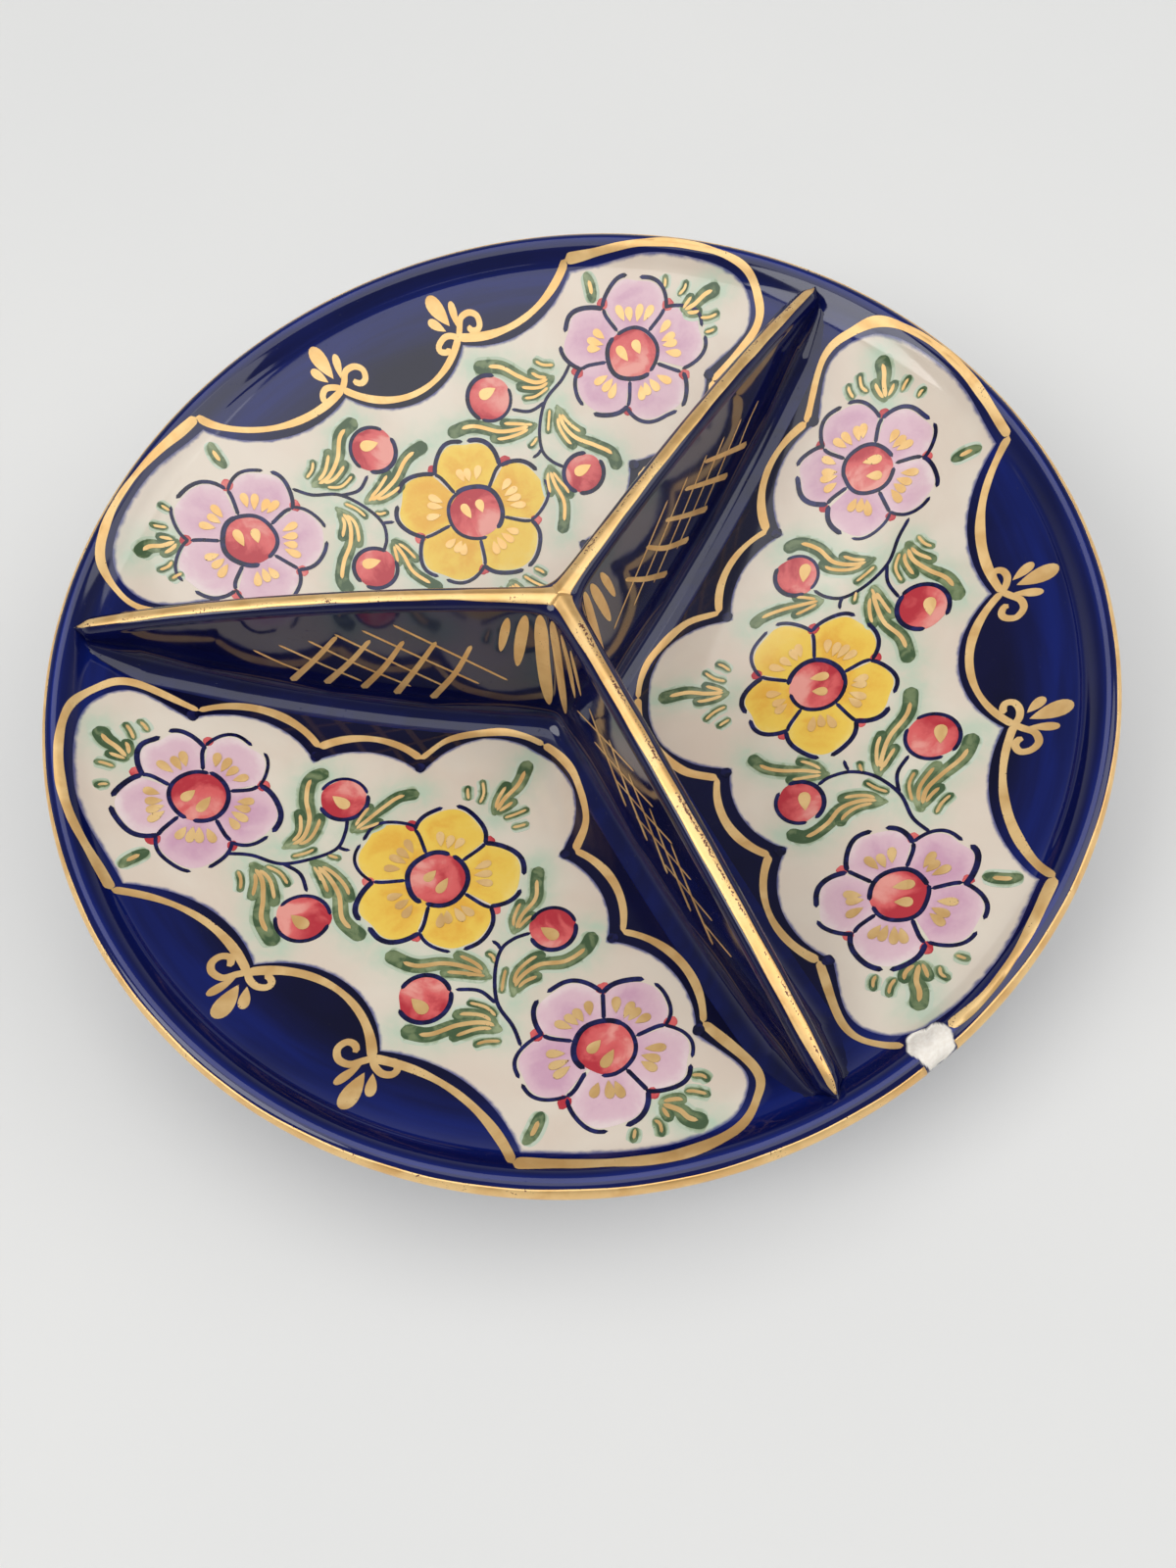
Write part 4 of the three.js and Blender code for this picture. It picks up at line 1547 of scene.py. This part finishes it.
# %% [markdown]
# ## Flowers
# A flower is five petals round a red heart. Each petal is part of a circle that sits off the flower's
# middle, cut at the neighbouring petals. The drawn lines don't close: the painter lifted the brush near
# the tip of most petals, and drew the lines between the petals from the heart outwards. A red dot marks
# each notch, and a fan of gold dabs lies on each petal.

# %% Shape of a petal
FLOWERS = [  # paint, middle, size and turn of the first petal in degrees
    ("lilac", (73.3, -55.0), 17.5, 180),
    ("yellow", (58.1, 0.3), 19.8, -17),
    ("lilac", (71.2, 55.5), 17.5, 180),
]
LINE = 0.88  # width of a drawn line
PETALS = 5
HEART_SHARE = 0.33  # of a flower's size
GROWTH = {"right": 0.96, "back_left": 1.03, "front_left": 1.0}  # the hand made one panel's flowers larger
PETAL_OFFSET = 0.58  # from the flower's middle to a petal's, as a share of the size
PETAL_RADIUS = 0.42
PETAL_WAVES = (11, 0.014)  # count round the flower and size of the waves in a petal's edge
DENT_SPAN = 9  # degrees


def polar(middle, radius, degrees):
    """Points at distances and angles from a middle."""
    turn = np.radians(degrees)
    return np.asarray(middle) + np.stack([radius * np.cos(turn), radius * np.sin(turn)], -1)


def petal_reach(size, degrees, dent, phase=None):
    """Distance of a petal's edge from the flower's middle, by the angle off the petal's own axis."""
    offset, radius = PETAL_OFFSET * size, PETAL_RADIUS * size
    count, wave = PETAL_WAVES
    turn = np.radians(degrees)
    reach = offset * np.cos(turn) + np.sqrt(radius**2 - (offset * np.sin(turn)) ** 2)
    uneven = 0 if phase is None else wave * np.cos(count * turn + phase)
    return reach * (1 + uneven - dent * np.exp(-((degrees / DENT_SPAN) ** 2)))


def one_sided(middle, radius, brush):
    """A load that grows from one side of a round dab to the other, as a tilted brush leaves it."""
    turn = brush.uniform(0, FULL_TURN)
    heavy = np.array([math.cos(turn), math.sin(turn)])
    return lambda paper: np.clip(0.5 + 0.5 * (paper - middle) @ heavy / radius, 0, 1)


def on_the_slope(lay, middle):
    """Paper that is drawn out round the axis, so that a flower is round on the bowl's slope."""
    aside = np.array([-middle[1], middle[0]]) / np.linalg.norm(middle)
    spread = inner_radius / math.sqrt(inner_radius**2 - middle @ middle) - 1
    return lambda paper: lay(paper + spread * ((paper - middle) @ aside)[:, None] * aside)


print("a petal reaches", round(float(petal_reach(1.0, np.array(0.0), 0)), 2), "of a flower's size")

# %% Lines and dabs of a flower
LINE_SPREAD = 36.5  # degrees to each side of a petal's axis, as far as its line goes
NOTCH = 180 / PETALS  # degrees from a petal's axis to the notch beside it
NOTCH_BEND = 0.6  # share of the size where the line to the notch bends
DOT_OUT = 1.0  # from the notch out to its red dot
FAN_STEP = 13.5  # degrees between the gold dabs of a fan
FAN_START = 0.405  # share of the size where the fan begins
FAN_HOLLOW, FAN_TURN = 0.5, 15  # a dab begins this much further out for so many degrees aside
FAN_DRIFT = 0.8  # share of a dab's angle where it starts, so that the fan opens
FAN_DAB = 1.9  # width
RING_OUT = 1.03  # share of the heart's radius where its line runs
SHINES = ((-1.6, 3.6), (1.7, 4.4))  # place aside and length of the gold dabs on a heart
SHINE_WIDTH = 2.2


def drawn_line(lay, path, width, ends, brush):
    """A navy line along a path."""
    stroke(navy, lay, path, brush_half(path, width, ends, ends), brush.random())


def petal_lines(lay, middle, axis, edge, brush):
    """The two strokes round a petal, which leave a gap near its tip."""
    gap = brush.uniform(1.5, 5.5)
    lean = brush.uniform(-9, 9)
    for first, last in ((-LINE_SPREAD, lean - gap), (lean + gap, LINE_SPREAD)):
        sweep = np.linspace(first, last, 14)
        line = resample(polar(middle, edge(sweep), axis + sweep), SPACING)
        drawn_line(lay, line, LINE * brush.uniform(0.8, 1.4), 1.5, brush)


def notch_line(lay, middle, size, axis, brush):
    """The stroke between two petals, from the heart to the notch, and the red dot there."""
    notch = petal_reach(size, np.array([NOTCH]), 0)[0]
    bend = brush.uniform(-3, 3)
    reach = np.array([HEART_SHARE * size + 0.5, NOTCH_BEND * size, notch])
    line = curve(polar(middle, reach, axis + NOTCH + np.array([0, bend, 0])))
    drawn_line(lay, line, LINE, 1.5, brush)
    dot = polar(middle, notch + DOT_OUT, axis + NOTCH + brush.uniform(-2, 2))
    dab(red, lay, blob(dot, brush.uniform(1.1, 1.45), brush, 14, 0.08), 0.8)


def gold_fan(lay, middle, size, axis, brush):
    """Three or four gold dabs that fan out on a petal."""
    dabs = brush.choice((3, 4))
    for number in range(dabs):
        fan = (number - (dabs - 1) / 2) * FAN_STEP + brush.uniform(-2.5, 2.5)
        inward = FAN_START * size + FAN_HOLLOW * abs(fan) / FAN_TURN
        length = brush.uniform(3.3, 4.2)
        root = polar(middle, inward, axis + fan * FAN_DRIFT)
        tip = polar(middle, inward + length, axis + fan)
        dab(gold_dabs, lay, teardrop(root, tip, FAN_DAB), brush.random())


def flower_heart(lay, middle, heart, brush):
    """The red heart, with a line round it in two strokes and two gold dabs for its shine."""
    dab(red, lay, blob(middle, heart, brush), brush.random(), one_sided(middle, heart, brush))
    for half_turn in (0, 180):
        tilt = math.radians(brush.uniform(0, 30) + half_turn)
        cos, sin = math.cos(tilt), math.sin(tilt)
        ring = resample(blob(middle, heart * RING_OUT, brush, 60, 0.02)[:30], 0.5) - middle
        ring = ring @ np.array([[cos, sin], [-sin, cos]]) + middle
        drawn_line(lay, ring, LINE * brush.uniform(0.95, 1.4), 1.5, brush)
    for aside, length in SHINES:
        start = np.asarray(middle) + (brush.uniform(-1.5, -0.5), aside)
        dab(gold_dabs, lay, teardrop(start, start + (length, 0.25 * aside), SHINE_WIDTH), brush.random())


print("a notch lies", NOTCH, "degrees from a petal's axis")

# %% Flower
PAINT_SHARE = 0.955  # of a petal's reach, so that cream shows between the paint and its line
PAINT_SPREAD = 34  # degrees to each side of a petal's axis
PAINT_SPREAD_IN = 32  # the same beside the heart
PAINT_START = 0.7  # share of the heart's radius, so that paint runs on under the heart
PETAL_LOAD = 1.35  # of paint, which falls by 1 over a flower's size


def flower(lay, paint, middle, size, turn, brush):
    """Paints one flower."""
    lay = on_the_slope(lay, middle)
    heart = HEART_SHARE * size

    def towards_heart(paper):
        return np.clip(PETAL_LOAD - np.hypot(*(paper - middle).T) / size, 0, 1)

    for petal in range(PETALS):
        axis = turn + 360 / PETALS * petal + brush.uniform(-2, 2)
        dent = brush.uniform(0.0, 0.05)
        phase = brush.uniform(0, FULL_TURN)
        own = size * brush.uniform(0.965, 1.03)

        def edge(degrees):
            return petal_reach(own, degrees, dent, phase)

        spread = np.linspace(-PAINT_SPREAD, PAINT_SPREAD, 23)
        outer = polar(middle, edge(spread) * PAINT_SHARE, axis + spread)
        inner = polar(middle, heart * PAINT_START, axis + np.linspace(PAINT_SPREAD_IN, -PAINT_SPREAD_IN, 7))
        dab(paint, lay, np.vstack([outer, inner]), brush.random(), towards_heart)
        petal_lines(lay, middle, axis, edge, brush)
        notch_line(lay, middle, size, axis, brush)
        gold_fan(lay, middle, size, axis, brush)
    flower_heart(lay, middle, heart, brush)


print("paint covers", 2 * PAINT_SPREAD, "degrees of a petal's", 360 / PETALS)

# %% Flowers on the panels
FLOWER_SHIFT = 0.5


def painted_panels():
    """The name, the paper and the brush of each panel."""
    return [(name, lay_panel(angle), panel_brush[name]) for name, angle in PANELS.items()]


flower_paints = {"lilac": lilac, "yellow": yellow}
for name, lay, brush in painted_panels():
    for paint, plan_middle, size, turn in FLOWERS:
        middle = shifted([plan_middle], brush, FLOWER_SHIFT)[0]
        lean = brush.uniform(-4, 4)
        flower(lay, flower_paints[paint], middle, size * GROWTH[name], turn + lean, brush)
print("petals:", lilac.layers + yellow.layers)

# %% [markdown]
# ## Buds and stems
# Each panel has four round red buds on thin navy stems between its flowers. A stem is one stroke that
# starts at an outer flower, with two short ones that branch off. A bud has a broken line round it and one
# gold dab for its shine.

# %% Buds and stems
BUDS = [((82.5, 16.9), 5.6), ((54.2, 30.0), 5.2)]
STEMS = [
    [(80.4, 40.4), (77.6, 36.3), (75.2, 30.1), (70.2, 25.3), (65.0, 23.2), (60.8, 24.0), (57.8, 26.2)],
    [(75.2, 30.1), (75.0, 25.0), (77.6, 20.8)],
    [(65.0, 23.2), (64.3, 21.7), (63.9, 20.2)],
]
BUD_SHIFT = 0.5
BUD_SHINE = 2.8  # width of the gold dab on a bud
STEM = 0.82  # width
STEM_SHIFT = 0.25


def bud(lay, middle, radius, brush):
    """Paints one bud."""
    shade = one_sided(middle, radius, brush)
    dab(red, lay, blob(middle, radius, brush, wobble=0.04), brush.random(), shade)
    for start, sweep in ((brush.uniform(-60, -20), 170), (brush.uniform(130, 150), 140)):
        reach = radius * brush.uniform(0.98, 1.06)
        ring = resample(polar(middle, reach, start + np.linspace(0, sweep, 30)), 0.5)
        drawn_line(lay, ring, LINE * brush.uniform(0.85, 1.3), 2, brush)
    start = np.asarray(middle) + (brush.uniform(0.8, 1.8), brush.uniform(-2.8, -2.0))
    tip = start + (brush.uniform(-0.2, 0.8), 4.8)
    dab(gold_dabs, lay, teardrop(start, tip, BUD_SHINE), brush.random())


for name, lay, brush in painted_panels():
    for side in HALVES:
        for middle, radius in BUDS:
            bud(lay, shifted([np.asarray(middle) * side], brush, BUD_SHIFT)[0], radius, brush)
        for points in STEMS:
            line = curve(shifted(np.asarray(points) * side, brush, STEM_SHIFT))
            drawn_line(lay, line, STEM, 2, brush)
print("buds:", len(BUDS) * 2 * len(PANELS))

# %% [markdown]
# ## Leaves
# A leaf is what a loaded brush leaves behind: one long curved lobe and two short ones that fan out from
# the same base. Round it the colour has run a little into the glaze, so a broader and paler wash lies under
# the green, and a gold vein runs along each lobe. Loose strokes with a vein fill the gaps between leaves.

# %% Leaves
LOBES = ((0.02, 0.52, 1), (0.05, 0.44, -1))  # start and end along the spine, and the side
LOBE_SPREAD = 2.15  # from the spine to a lobe's tip
LOBE_COURSE = ((0, 0), (0.4, 0.6), (0.75, 0.95), (1, 1.05))  # share of the way, and of the spread
LOBE_BREADTH = 1.5  # width of a lobe over half the breadth of its leaf
WASH_RIM = 0.75  # by which the wash is wider than the green on it
LEAF_WAIST = 0.72  # share of its breadth that a leaf has at its base
SPINE_VEIN = (0.1, 0.84, 0.58)  # shares of the way where a vein starts and ends, then its width
LOBE_VEIN = (0.22, 0.88, 0.48)


def beside(path, share, distance):
    """A point beside a path, to its left for a distance above 0."""
    index = min(int(share * (len(path) - 1)), len(path) - 2)
    ahead = path[index + 1] - path[index]
    return path[index] + distance * np.array([-ahead[1], ahead[0]]) / np.linalg.norm(ahead)


def green_stroke(lay, path, half, brush):
    """A green stroke on its paler wash."""
    stroke(leaf_wash, lay, path, half + WASH_RIM * np.minimum(half / half.max() + 0.4, 1), brush.random())
    stroke(green, lay, path, half, brush.random())


def leaf(lay, spine_points, breadth, brush):
    """Paints one leaf."""
    spine = curve(spine_points, 0.5)
    share = np.linspace(0, 1, len(spine))
    fullness = LEAF_WAIST + (1 - LEAF_WAIST) * smooth_step(share, 0.25, 0.6)
    green_stroke(lay, spine, brush_half(spine, 2 * breadth, 3, 1.1) * fullness, brush)
    veins = [(spine, SPINE_VEIN)]
    for start, end, side in LOBES:
        end = end * brush.uniform(0.88, 1.12)
        spread = LOBE_SPREAD * side * brush.uniform(0.88, 1.12)
        course = [(start + way * (end - start), off * spread) for way, off in LOBE_COURSE]
        lobe = curve([beside(spine, *step) for step in course], 0.4)
        green_stroke(lay, lobe, brush_half(lobe, LOBE_BREADTH * breadth, 3, 1.1), brush)
        veins.append((lobe, LOBE_VEIN))
    for path, (first, last, width) in veins:
        vein = path[int(first * len(path)):int(last * len(path))]
        stroke(gold_dabs, lay, vein, brush_half(vein, width * breadth, 3, 3), brush.random())


print("a leaf has", 1 + len(LOBES), "lobes")

# %% Leaves and loose strokes on the panels
LOOSE_STROKES = [  # beside the leaves, on the right half
    ((77.9, 32.4), (77.2, 28.4), (78.8, 24.4)),
    ((81.9, 36.2), (83.4, 33.6), (85.6, 31.6)),
    ((71.4, 24.2), (72.6, 21.8), (74.0, 19.8)),
    ((68.0, 24.0), (67.3, 22.4), (67.0, 20.4)),
    ((72.8, 29.8), (70.2, 27.8), (67.6, 26.2)),
    ((71.0, 73.8), (69.6, 75.8), (69.0, 78.6)),
    ((67.4, 73.2), (66.4, 75.0), (66.2, 76.8)),
    ((78.8, 71.4), (79.2, 73.6), (80.4, 75.4)),
    ((82.0, 69.4), (83.2, 70.6), (84.6, 71.0)),
    ((37.0, 3.4), (34.2, 4.8), (31.4, 7.0)),
    ((37.8, 6.4), (36.2, 7.8), (34.4, 9.0)),
]
LOOSE_BRUSH = (1.6, 2, 1.3)  # width, and how long and thin a stroke starts and ends
LOOSE_VEIN = (1, -2, 0.65)  # points of the stroke where its vein starts and ends, then the vein's width
LOOSE_SHIFT = 0.35
SHOULDER_LEAF = ((96.3, 53.4), (93.4, 53.6), (89.4, 52.4))
SHOULDER_BRUSH = (2.7, 2.5, 2)
SHOULDER_VEIN = (5, -5, 1.0)


def loose_stroke(lay, points, shape, vein, brush):
    """A single green stroke with a gold vein."""
    first, last, width = vein
    line = curve(shifted(points, brush, LOOSE_SHIFT), 0.4)
    green_stroke(lay, line, brush_half(line, *shape), brush)
    line = line[first:last]
    stroke(gold_dabs, lay, line, brush_half(line, width, 2, 2), brush.random())


for name, lay, brush in painted_panels():
    for spine_points, breadth in leaf_plan[name]:
        leaf(lay, spine_points, breadth, brush)
    for side in HALVES:
        for points in LOOSE_STROKES:
            loose_stroke(lay, np.asarray(points) * side, LOOSE_BRUSH, LOOSE_VEIN, brush)
        loose_stroke(lay, np.asarray(SHOULDER_LEAF) * side, SHOULDER_BRUSH, SHOULDER_VEIN, brush)
print("green strokes:", green.layers)

# %% [markdown]
# ## Gilt outlines and palmettes
# A gold line follows each reserve at a small distance, drawn stroke by stroke from cusp to cusp. Where two
# scallops meet on the rim side, they cross and curl into a pair of volutes, and three leaf-shaped dabs
# stand above them. The line breaks off where the rim has lost its flake.

# %% Gilt outlines
GILT_LINE = 1.75
GILT_SWELLS = ((5.2, 0.17), (1.7, 0.05))  # length and size of a line's slow and quick swelling
CHIP_INSET = 4.0  # from the rim's edge to the middle of the flake that took the line
CHIP_CLEAR = 4.6  # from there to what is left of the line
SHORTEST = 4  # points of a stretch that is still drawn
chip_turn = math.radians(CHIP_ANGLE)
chip_middle = (rim_radius - CHIP_INSET) * np.array([math.cos(chip_turn), math.sin(chip_turn)])


def whole_stretches(lay, path):
    """The stretches of a path that don't cross the chip."""
    places, _ = lay(path)
    kept = np.hypot(*(places[:, :2] - chip_middle).T) > CHIP_CLEAR
    parts = np.split(np.arange(len(path)), np.flatnonzero(np.diff(kept.astype(int))) + 1)
    return [path[part] for part in parts if kept[part[0]] and len(part) >= SHORTEST]


def hand_width(path, width, brush):
    """Half widths of a drawn gold line, which swells and thins along its way."""
    travel = np.arange(len(path)) * SPACING
    swell = 1
    for length, size in GILT_SWELLS:
        swell = swell + size * np.sin(travel / length + brush.uniform(0, 6))
    return brush_half(path, width * brush.uniform(0.92, 1.1), 1.5, 1.5) * swell


CUSPS = ("hub_cusp", "inner_cusp", "outer_cusp")
NUB = 1.3  # radius of the drop of cobalt that gathered at a cusp
NUB_BACK = 0.33  # share of the way from the cream's cusp to the gold's
for name, lay, brush in painted_panels():
    for side in HALVES:
        for cusp in CUSPS:
            middle = np.array(RESERVE[cusp]) * (1 - NUB_BACK) + np.array(GILT[cusp]) * NUB_BACK
            dab(navy, lay, blob(middle * side, NUB, brush, 18, 0.06), 1.0)
    strokes = half_strokes(drawn(GILT, name, 1))
    strokes += [path * MIRROR for path in half_strokes(drawn(GILT, name, -1))[:-1]]
    for path in strokes:
        for part in whole_stretches(lay, path):
            stroke(gold_outline, lay, part, hand_width(part, GILT_LINE, brush), brush.random())
print("gilt strokes:", gold_outline.layers)

# %% Palmettes
VOLUTES = [  # from the crossing outwards and aside, then curling in
    [
        (0, 0), (1.6, -1.2), (3.6, -2.8), (3.9, -5.2), (2.4, -6.9),
        (0.4, -6.7), (-0.4, -5.2), (0.3, -3.9), (1.2, -4.1),
    ],
    [(0, 0), (1.1, 1.9), (1.3, 3.8), (0.3, 5.5), (-1.1, 5.7), (-1.8, 4.4), (-1.6, 3.1)],
]
SPRAY = [  # start, tip and width of the three leaf-shaped dabs
    ((3.0, 0.8), (11.0, 2.7), 3.9),
    ((2.2, -0.9), (8.2, -2.1), 2.0),
    ((2.4, 2.4), (6.4, 5.4), 2.3),
]
VOLUTE_LINE = 1.5
VOLUTE_SHIFT = 0.15
SPRAY_SHIFT = 0.2
for name, lay, brush in painted_panels():
    for side in HALVES:
        crossing = np.array(GILT["junction"]) * side
        for volute in VOLUTES:
            path = curve(crossing + shifted(volute, brush, VOLUTE_SHIFT), 0.45)
            stroke(gold_outline, lay, path, brush_half(path, VOLUTE_LINE), brush.random())
        for start, tip, width in SPRAY:
            outline = crossing + teardrop(*shifted([start, tip], brush, SPRAY_SHIFT), width)
            dab(gold_outline, lay, outline, brush.random())
print("gilt strokes and dabs:", gold_outline.layers)

# %% [markdown]
# ## Lattice on the dividers
# Each side of a divider has a loose gold lattice: thin lines that fall towards the hub, crossed by
# broader strokes that fall outwards, and three leaf-shaped strokes beside the hub.

# %% Lattice
THIN_LINES = 6
THIN_START, THIN_STEP = np.array([37.6, 6.8]), np.array([7.0, -2.4])  # of the first line, and to the next
THIN_DROP, THIN_LOSS = 23, 14  # how far the first line falls, and how much less the last one does
THIN_MIDDLE, THIN_FOOT = np.array([0.48, 0.5]), np.array([0.98, 1.0])  # shares of that fall, in and down
THIN_WIDTH = 0.75
BROAD_LINES = 5
BROAD_START, BROAD_STEP = np.array([20.9, -1.2]), np.array([7.6, 0.6])
BROAD_END, BROAD_END_STEP = np.array([34.9, -25.8]), np.array([8.2, 1.9])
BROAD_BOW, HUB_BOW = (-0.6, 0), (0.3, 0)  # by which a stroke's middle bows out
BROAD_WIDTH = 1.5
BROAD_SWELL = (0.7, 1.25)  # shares of the width at the start and at the end
HUB_STROKES = [  # start, end and width
    ((11.0, 10.2), (14.6, -3.8), 2.1),
    ((7.2, 11.2), (11.6, -9.9), 2.7),
    ((4.0, 12.4), (5.8, -27.0), 3.2),
]
LATTICE_SEED = 31
LATTICE_MIDDLE = np.array([30.0, -9.0])  # stays in place where the lattice is drawn out
LATTICE_STRETCH = {1: (1.0, 1.0), -1: (1.2, 0.8)}  # along and up, on a wall's left and right side


def lattice(lay, brush, flip, stretch):
    """Draws the lattice of one side."""

    def drawn_out(points):
        return LATTICE_MIDDLE + (np.asarray(points) - LATTICE_MIDDLE) * stretch

    for number in range(THIN_LINES):
        start = THIN_START + THIN_STEP * number
        drop = THIN_DROP - THIN_LOSS * (number / (THIN_LINES - 1)) ** 3
        points = [start, start - THIN_MIDDLE * drop, start - THIN_FOOT * drop]
        line = curve(shifted(drawn_out(points), brush, 0.4), 0.7)
        stroke(gold_lattice, lay, line, brush_half(line, THIN_WIDTH, 3, 3), brush.random(), flip)
    for number in range(BROAD_LINES):
        start = BROAD_START + BROAD_STEP * number
        end = BROAD_END + BROAD_END_STEP * number
        points = [start, (start + end) / 2 + BROAD_BOW, end]
        line = curve(shifted(drawn_out(points), brush, 0.5), 0.7)
        half = brush_half(line, BROAD_WIDTH, 2, 1.2) * np.linspace(*BROAD_SWELL, len(line))
        stroke(gold_lattice, lay, line, half, brush.random(), flip)
    for start, end, width in HUB_STROKES:
        line = curve(shifted([start, (np.array(start) + end) / 2 + HUB_BOW, end], brush, 0.2), 0.6)
        stroke(gold_lattice, lay, line, brush_half(line, width, 6, 9), brush.random(), flip)


lattice_brush = random.Random(LATTICE_SEED)
for angle in DIVIDERS.values():
    for side in (1, -1):
        lattice(lay_wall(angle, side), lattice_brush, side > 0, LATTICE_STRETCH[side])
print("lattice strokes:", gold_lattice.layers)

# %% Paints become pieces
PAINTED = {
    "lilac_petals": (lilac, "lilac"),
    "yellow_petals": (yellow, "yellow"),
    "leaf_washes": (leaf_wash, "leaf_wash"),
    "green_leaves": (green, "leaf"),
    "red_hearts_and_buds": (red, "red"),
    "navy_lines": (navy, "navy"),
}
GILDED = {"gold_veins_and_dabs": gold_dabs, "gold_outlines": gold_outline, "gold_lattice": gold_lattice}
for name, (paint, finish) in PAINTED.items():
    paint.piece(name, finishes[finish], "painted_glaze")
for name, paint in GILDED.items():
    paint.piece(name, gold_line, "gilding")

# %% [markdown]
# ## Floor and light
# The dish stands on a plain pale floor. Large soft lamps stand in for a studio: a wide round one straight
# above, which lights the bowl between its walls, a lamp on either side, and a sky that is paler towards the
# horizon. Gloss needs something to mirror, so the lamps are wide: the one above lies as a pale veil on the
# far compartment.

# %% Floor
FLOOR_SIZE = 12.0
FLOOR_PALE = chart(232, 231, 228)
FLOOR_SHADE = chart(226, 226, 224)
FLOOR_CLOUDS = 6.0
FLOOR_ROUGHNESS = 0.85


def floor_finish():
    """Pale matt paper with a hardly visible mottle."""
    material, tree, shader = new_material("floor_paper")
    mottle = noise(tree, place(tree), FLOOR_CLOUDS, 4.0)
    colour = mix_colour(tree, mottle, FLOOR_SHADE, FLOOR_PALE)
    join(shader, {"Base Color": colour, "Roughness": FLOOR_ROUGHNESS})
    return material


half = FLOOR_SIZE / 2
floor_mesh = bpy.data.meshes.new("floor")
corners = [(-half, -half, 0), (half, -half, 0), (half, half, 0), (-half, half, 0)]
floor_mesh.from_pydata(corners, [], [(0, 1, 2, 3)])
floor_mesh.materials.append(floor_finish())
floor = add_object("floor", floor_mesh)
print("floor", FLOOR_SIZE, "m square")

# %% Lamps and sky
LAMPS = {  # place in metres, size in metres and power in watts
    "key": ((-1.3, -0.66, 1.51), 1.1, 13.0),
    "fill": ((1.46, 0.08, 1.36), 1.45, 10.6),
    "overhead": ((0.0, 0.05, 1.9), 2.1, 19.0),
}
for name, (spot, size, power) in LAMPS.items():
    lamp_data = bpy.data.lights.new(name, "AREA")
    lamp_data.shape = "DISK"
    lamp_data.size = size
    lamp_data.energy = power
    lamp = add_object(name, lamp_data)
    lamp.location = spot
    lamp.rotation_euler = (-Vector(spot)).to_track_quat("-Z", "Y").to_euler()

SKY_LOW = (0.8, 0.81, 0.83, 1)
SKY_HIGH = (0.2, 0.205, 0.215, 1)
SKY_BLEND = (0.0, 0.5)  # from level to halfway up, between the two tones
sky = bpy.data.worlds.new("studio_sky")
sky.use_nodes = True
sky_tree = sky.node_tree
direction = add_node(sky_tree, "ShaderNodeTexCoord").outputs["Generated"]
upward = add_node(sky_tree, "ShaderNodeSeparateXYZ", {0: direction}).outputs["Z"]
sky_tone = mix_colour(sky_tree, ramp(sky_tree, upward, *SKY_BLEND), SKY_LOW, SKY_HIGH)
join(sky_tree.nodes["Background"], {"Color": sky_tone})
bpy.context.scene.world = sky
bpy.context.scene.view_settings.view_transform = "Standard"
print(len(LAMPS), "lamps")
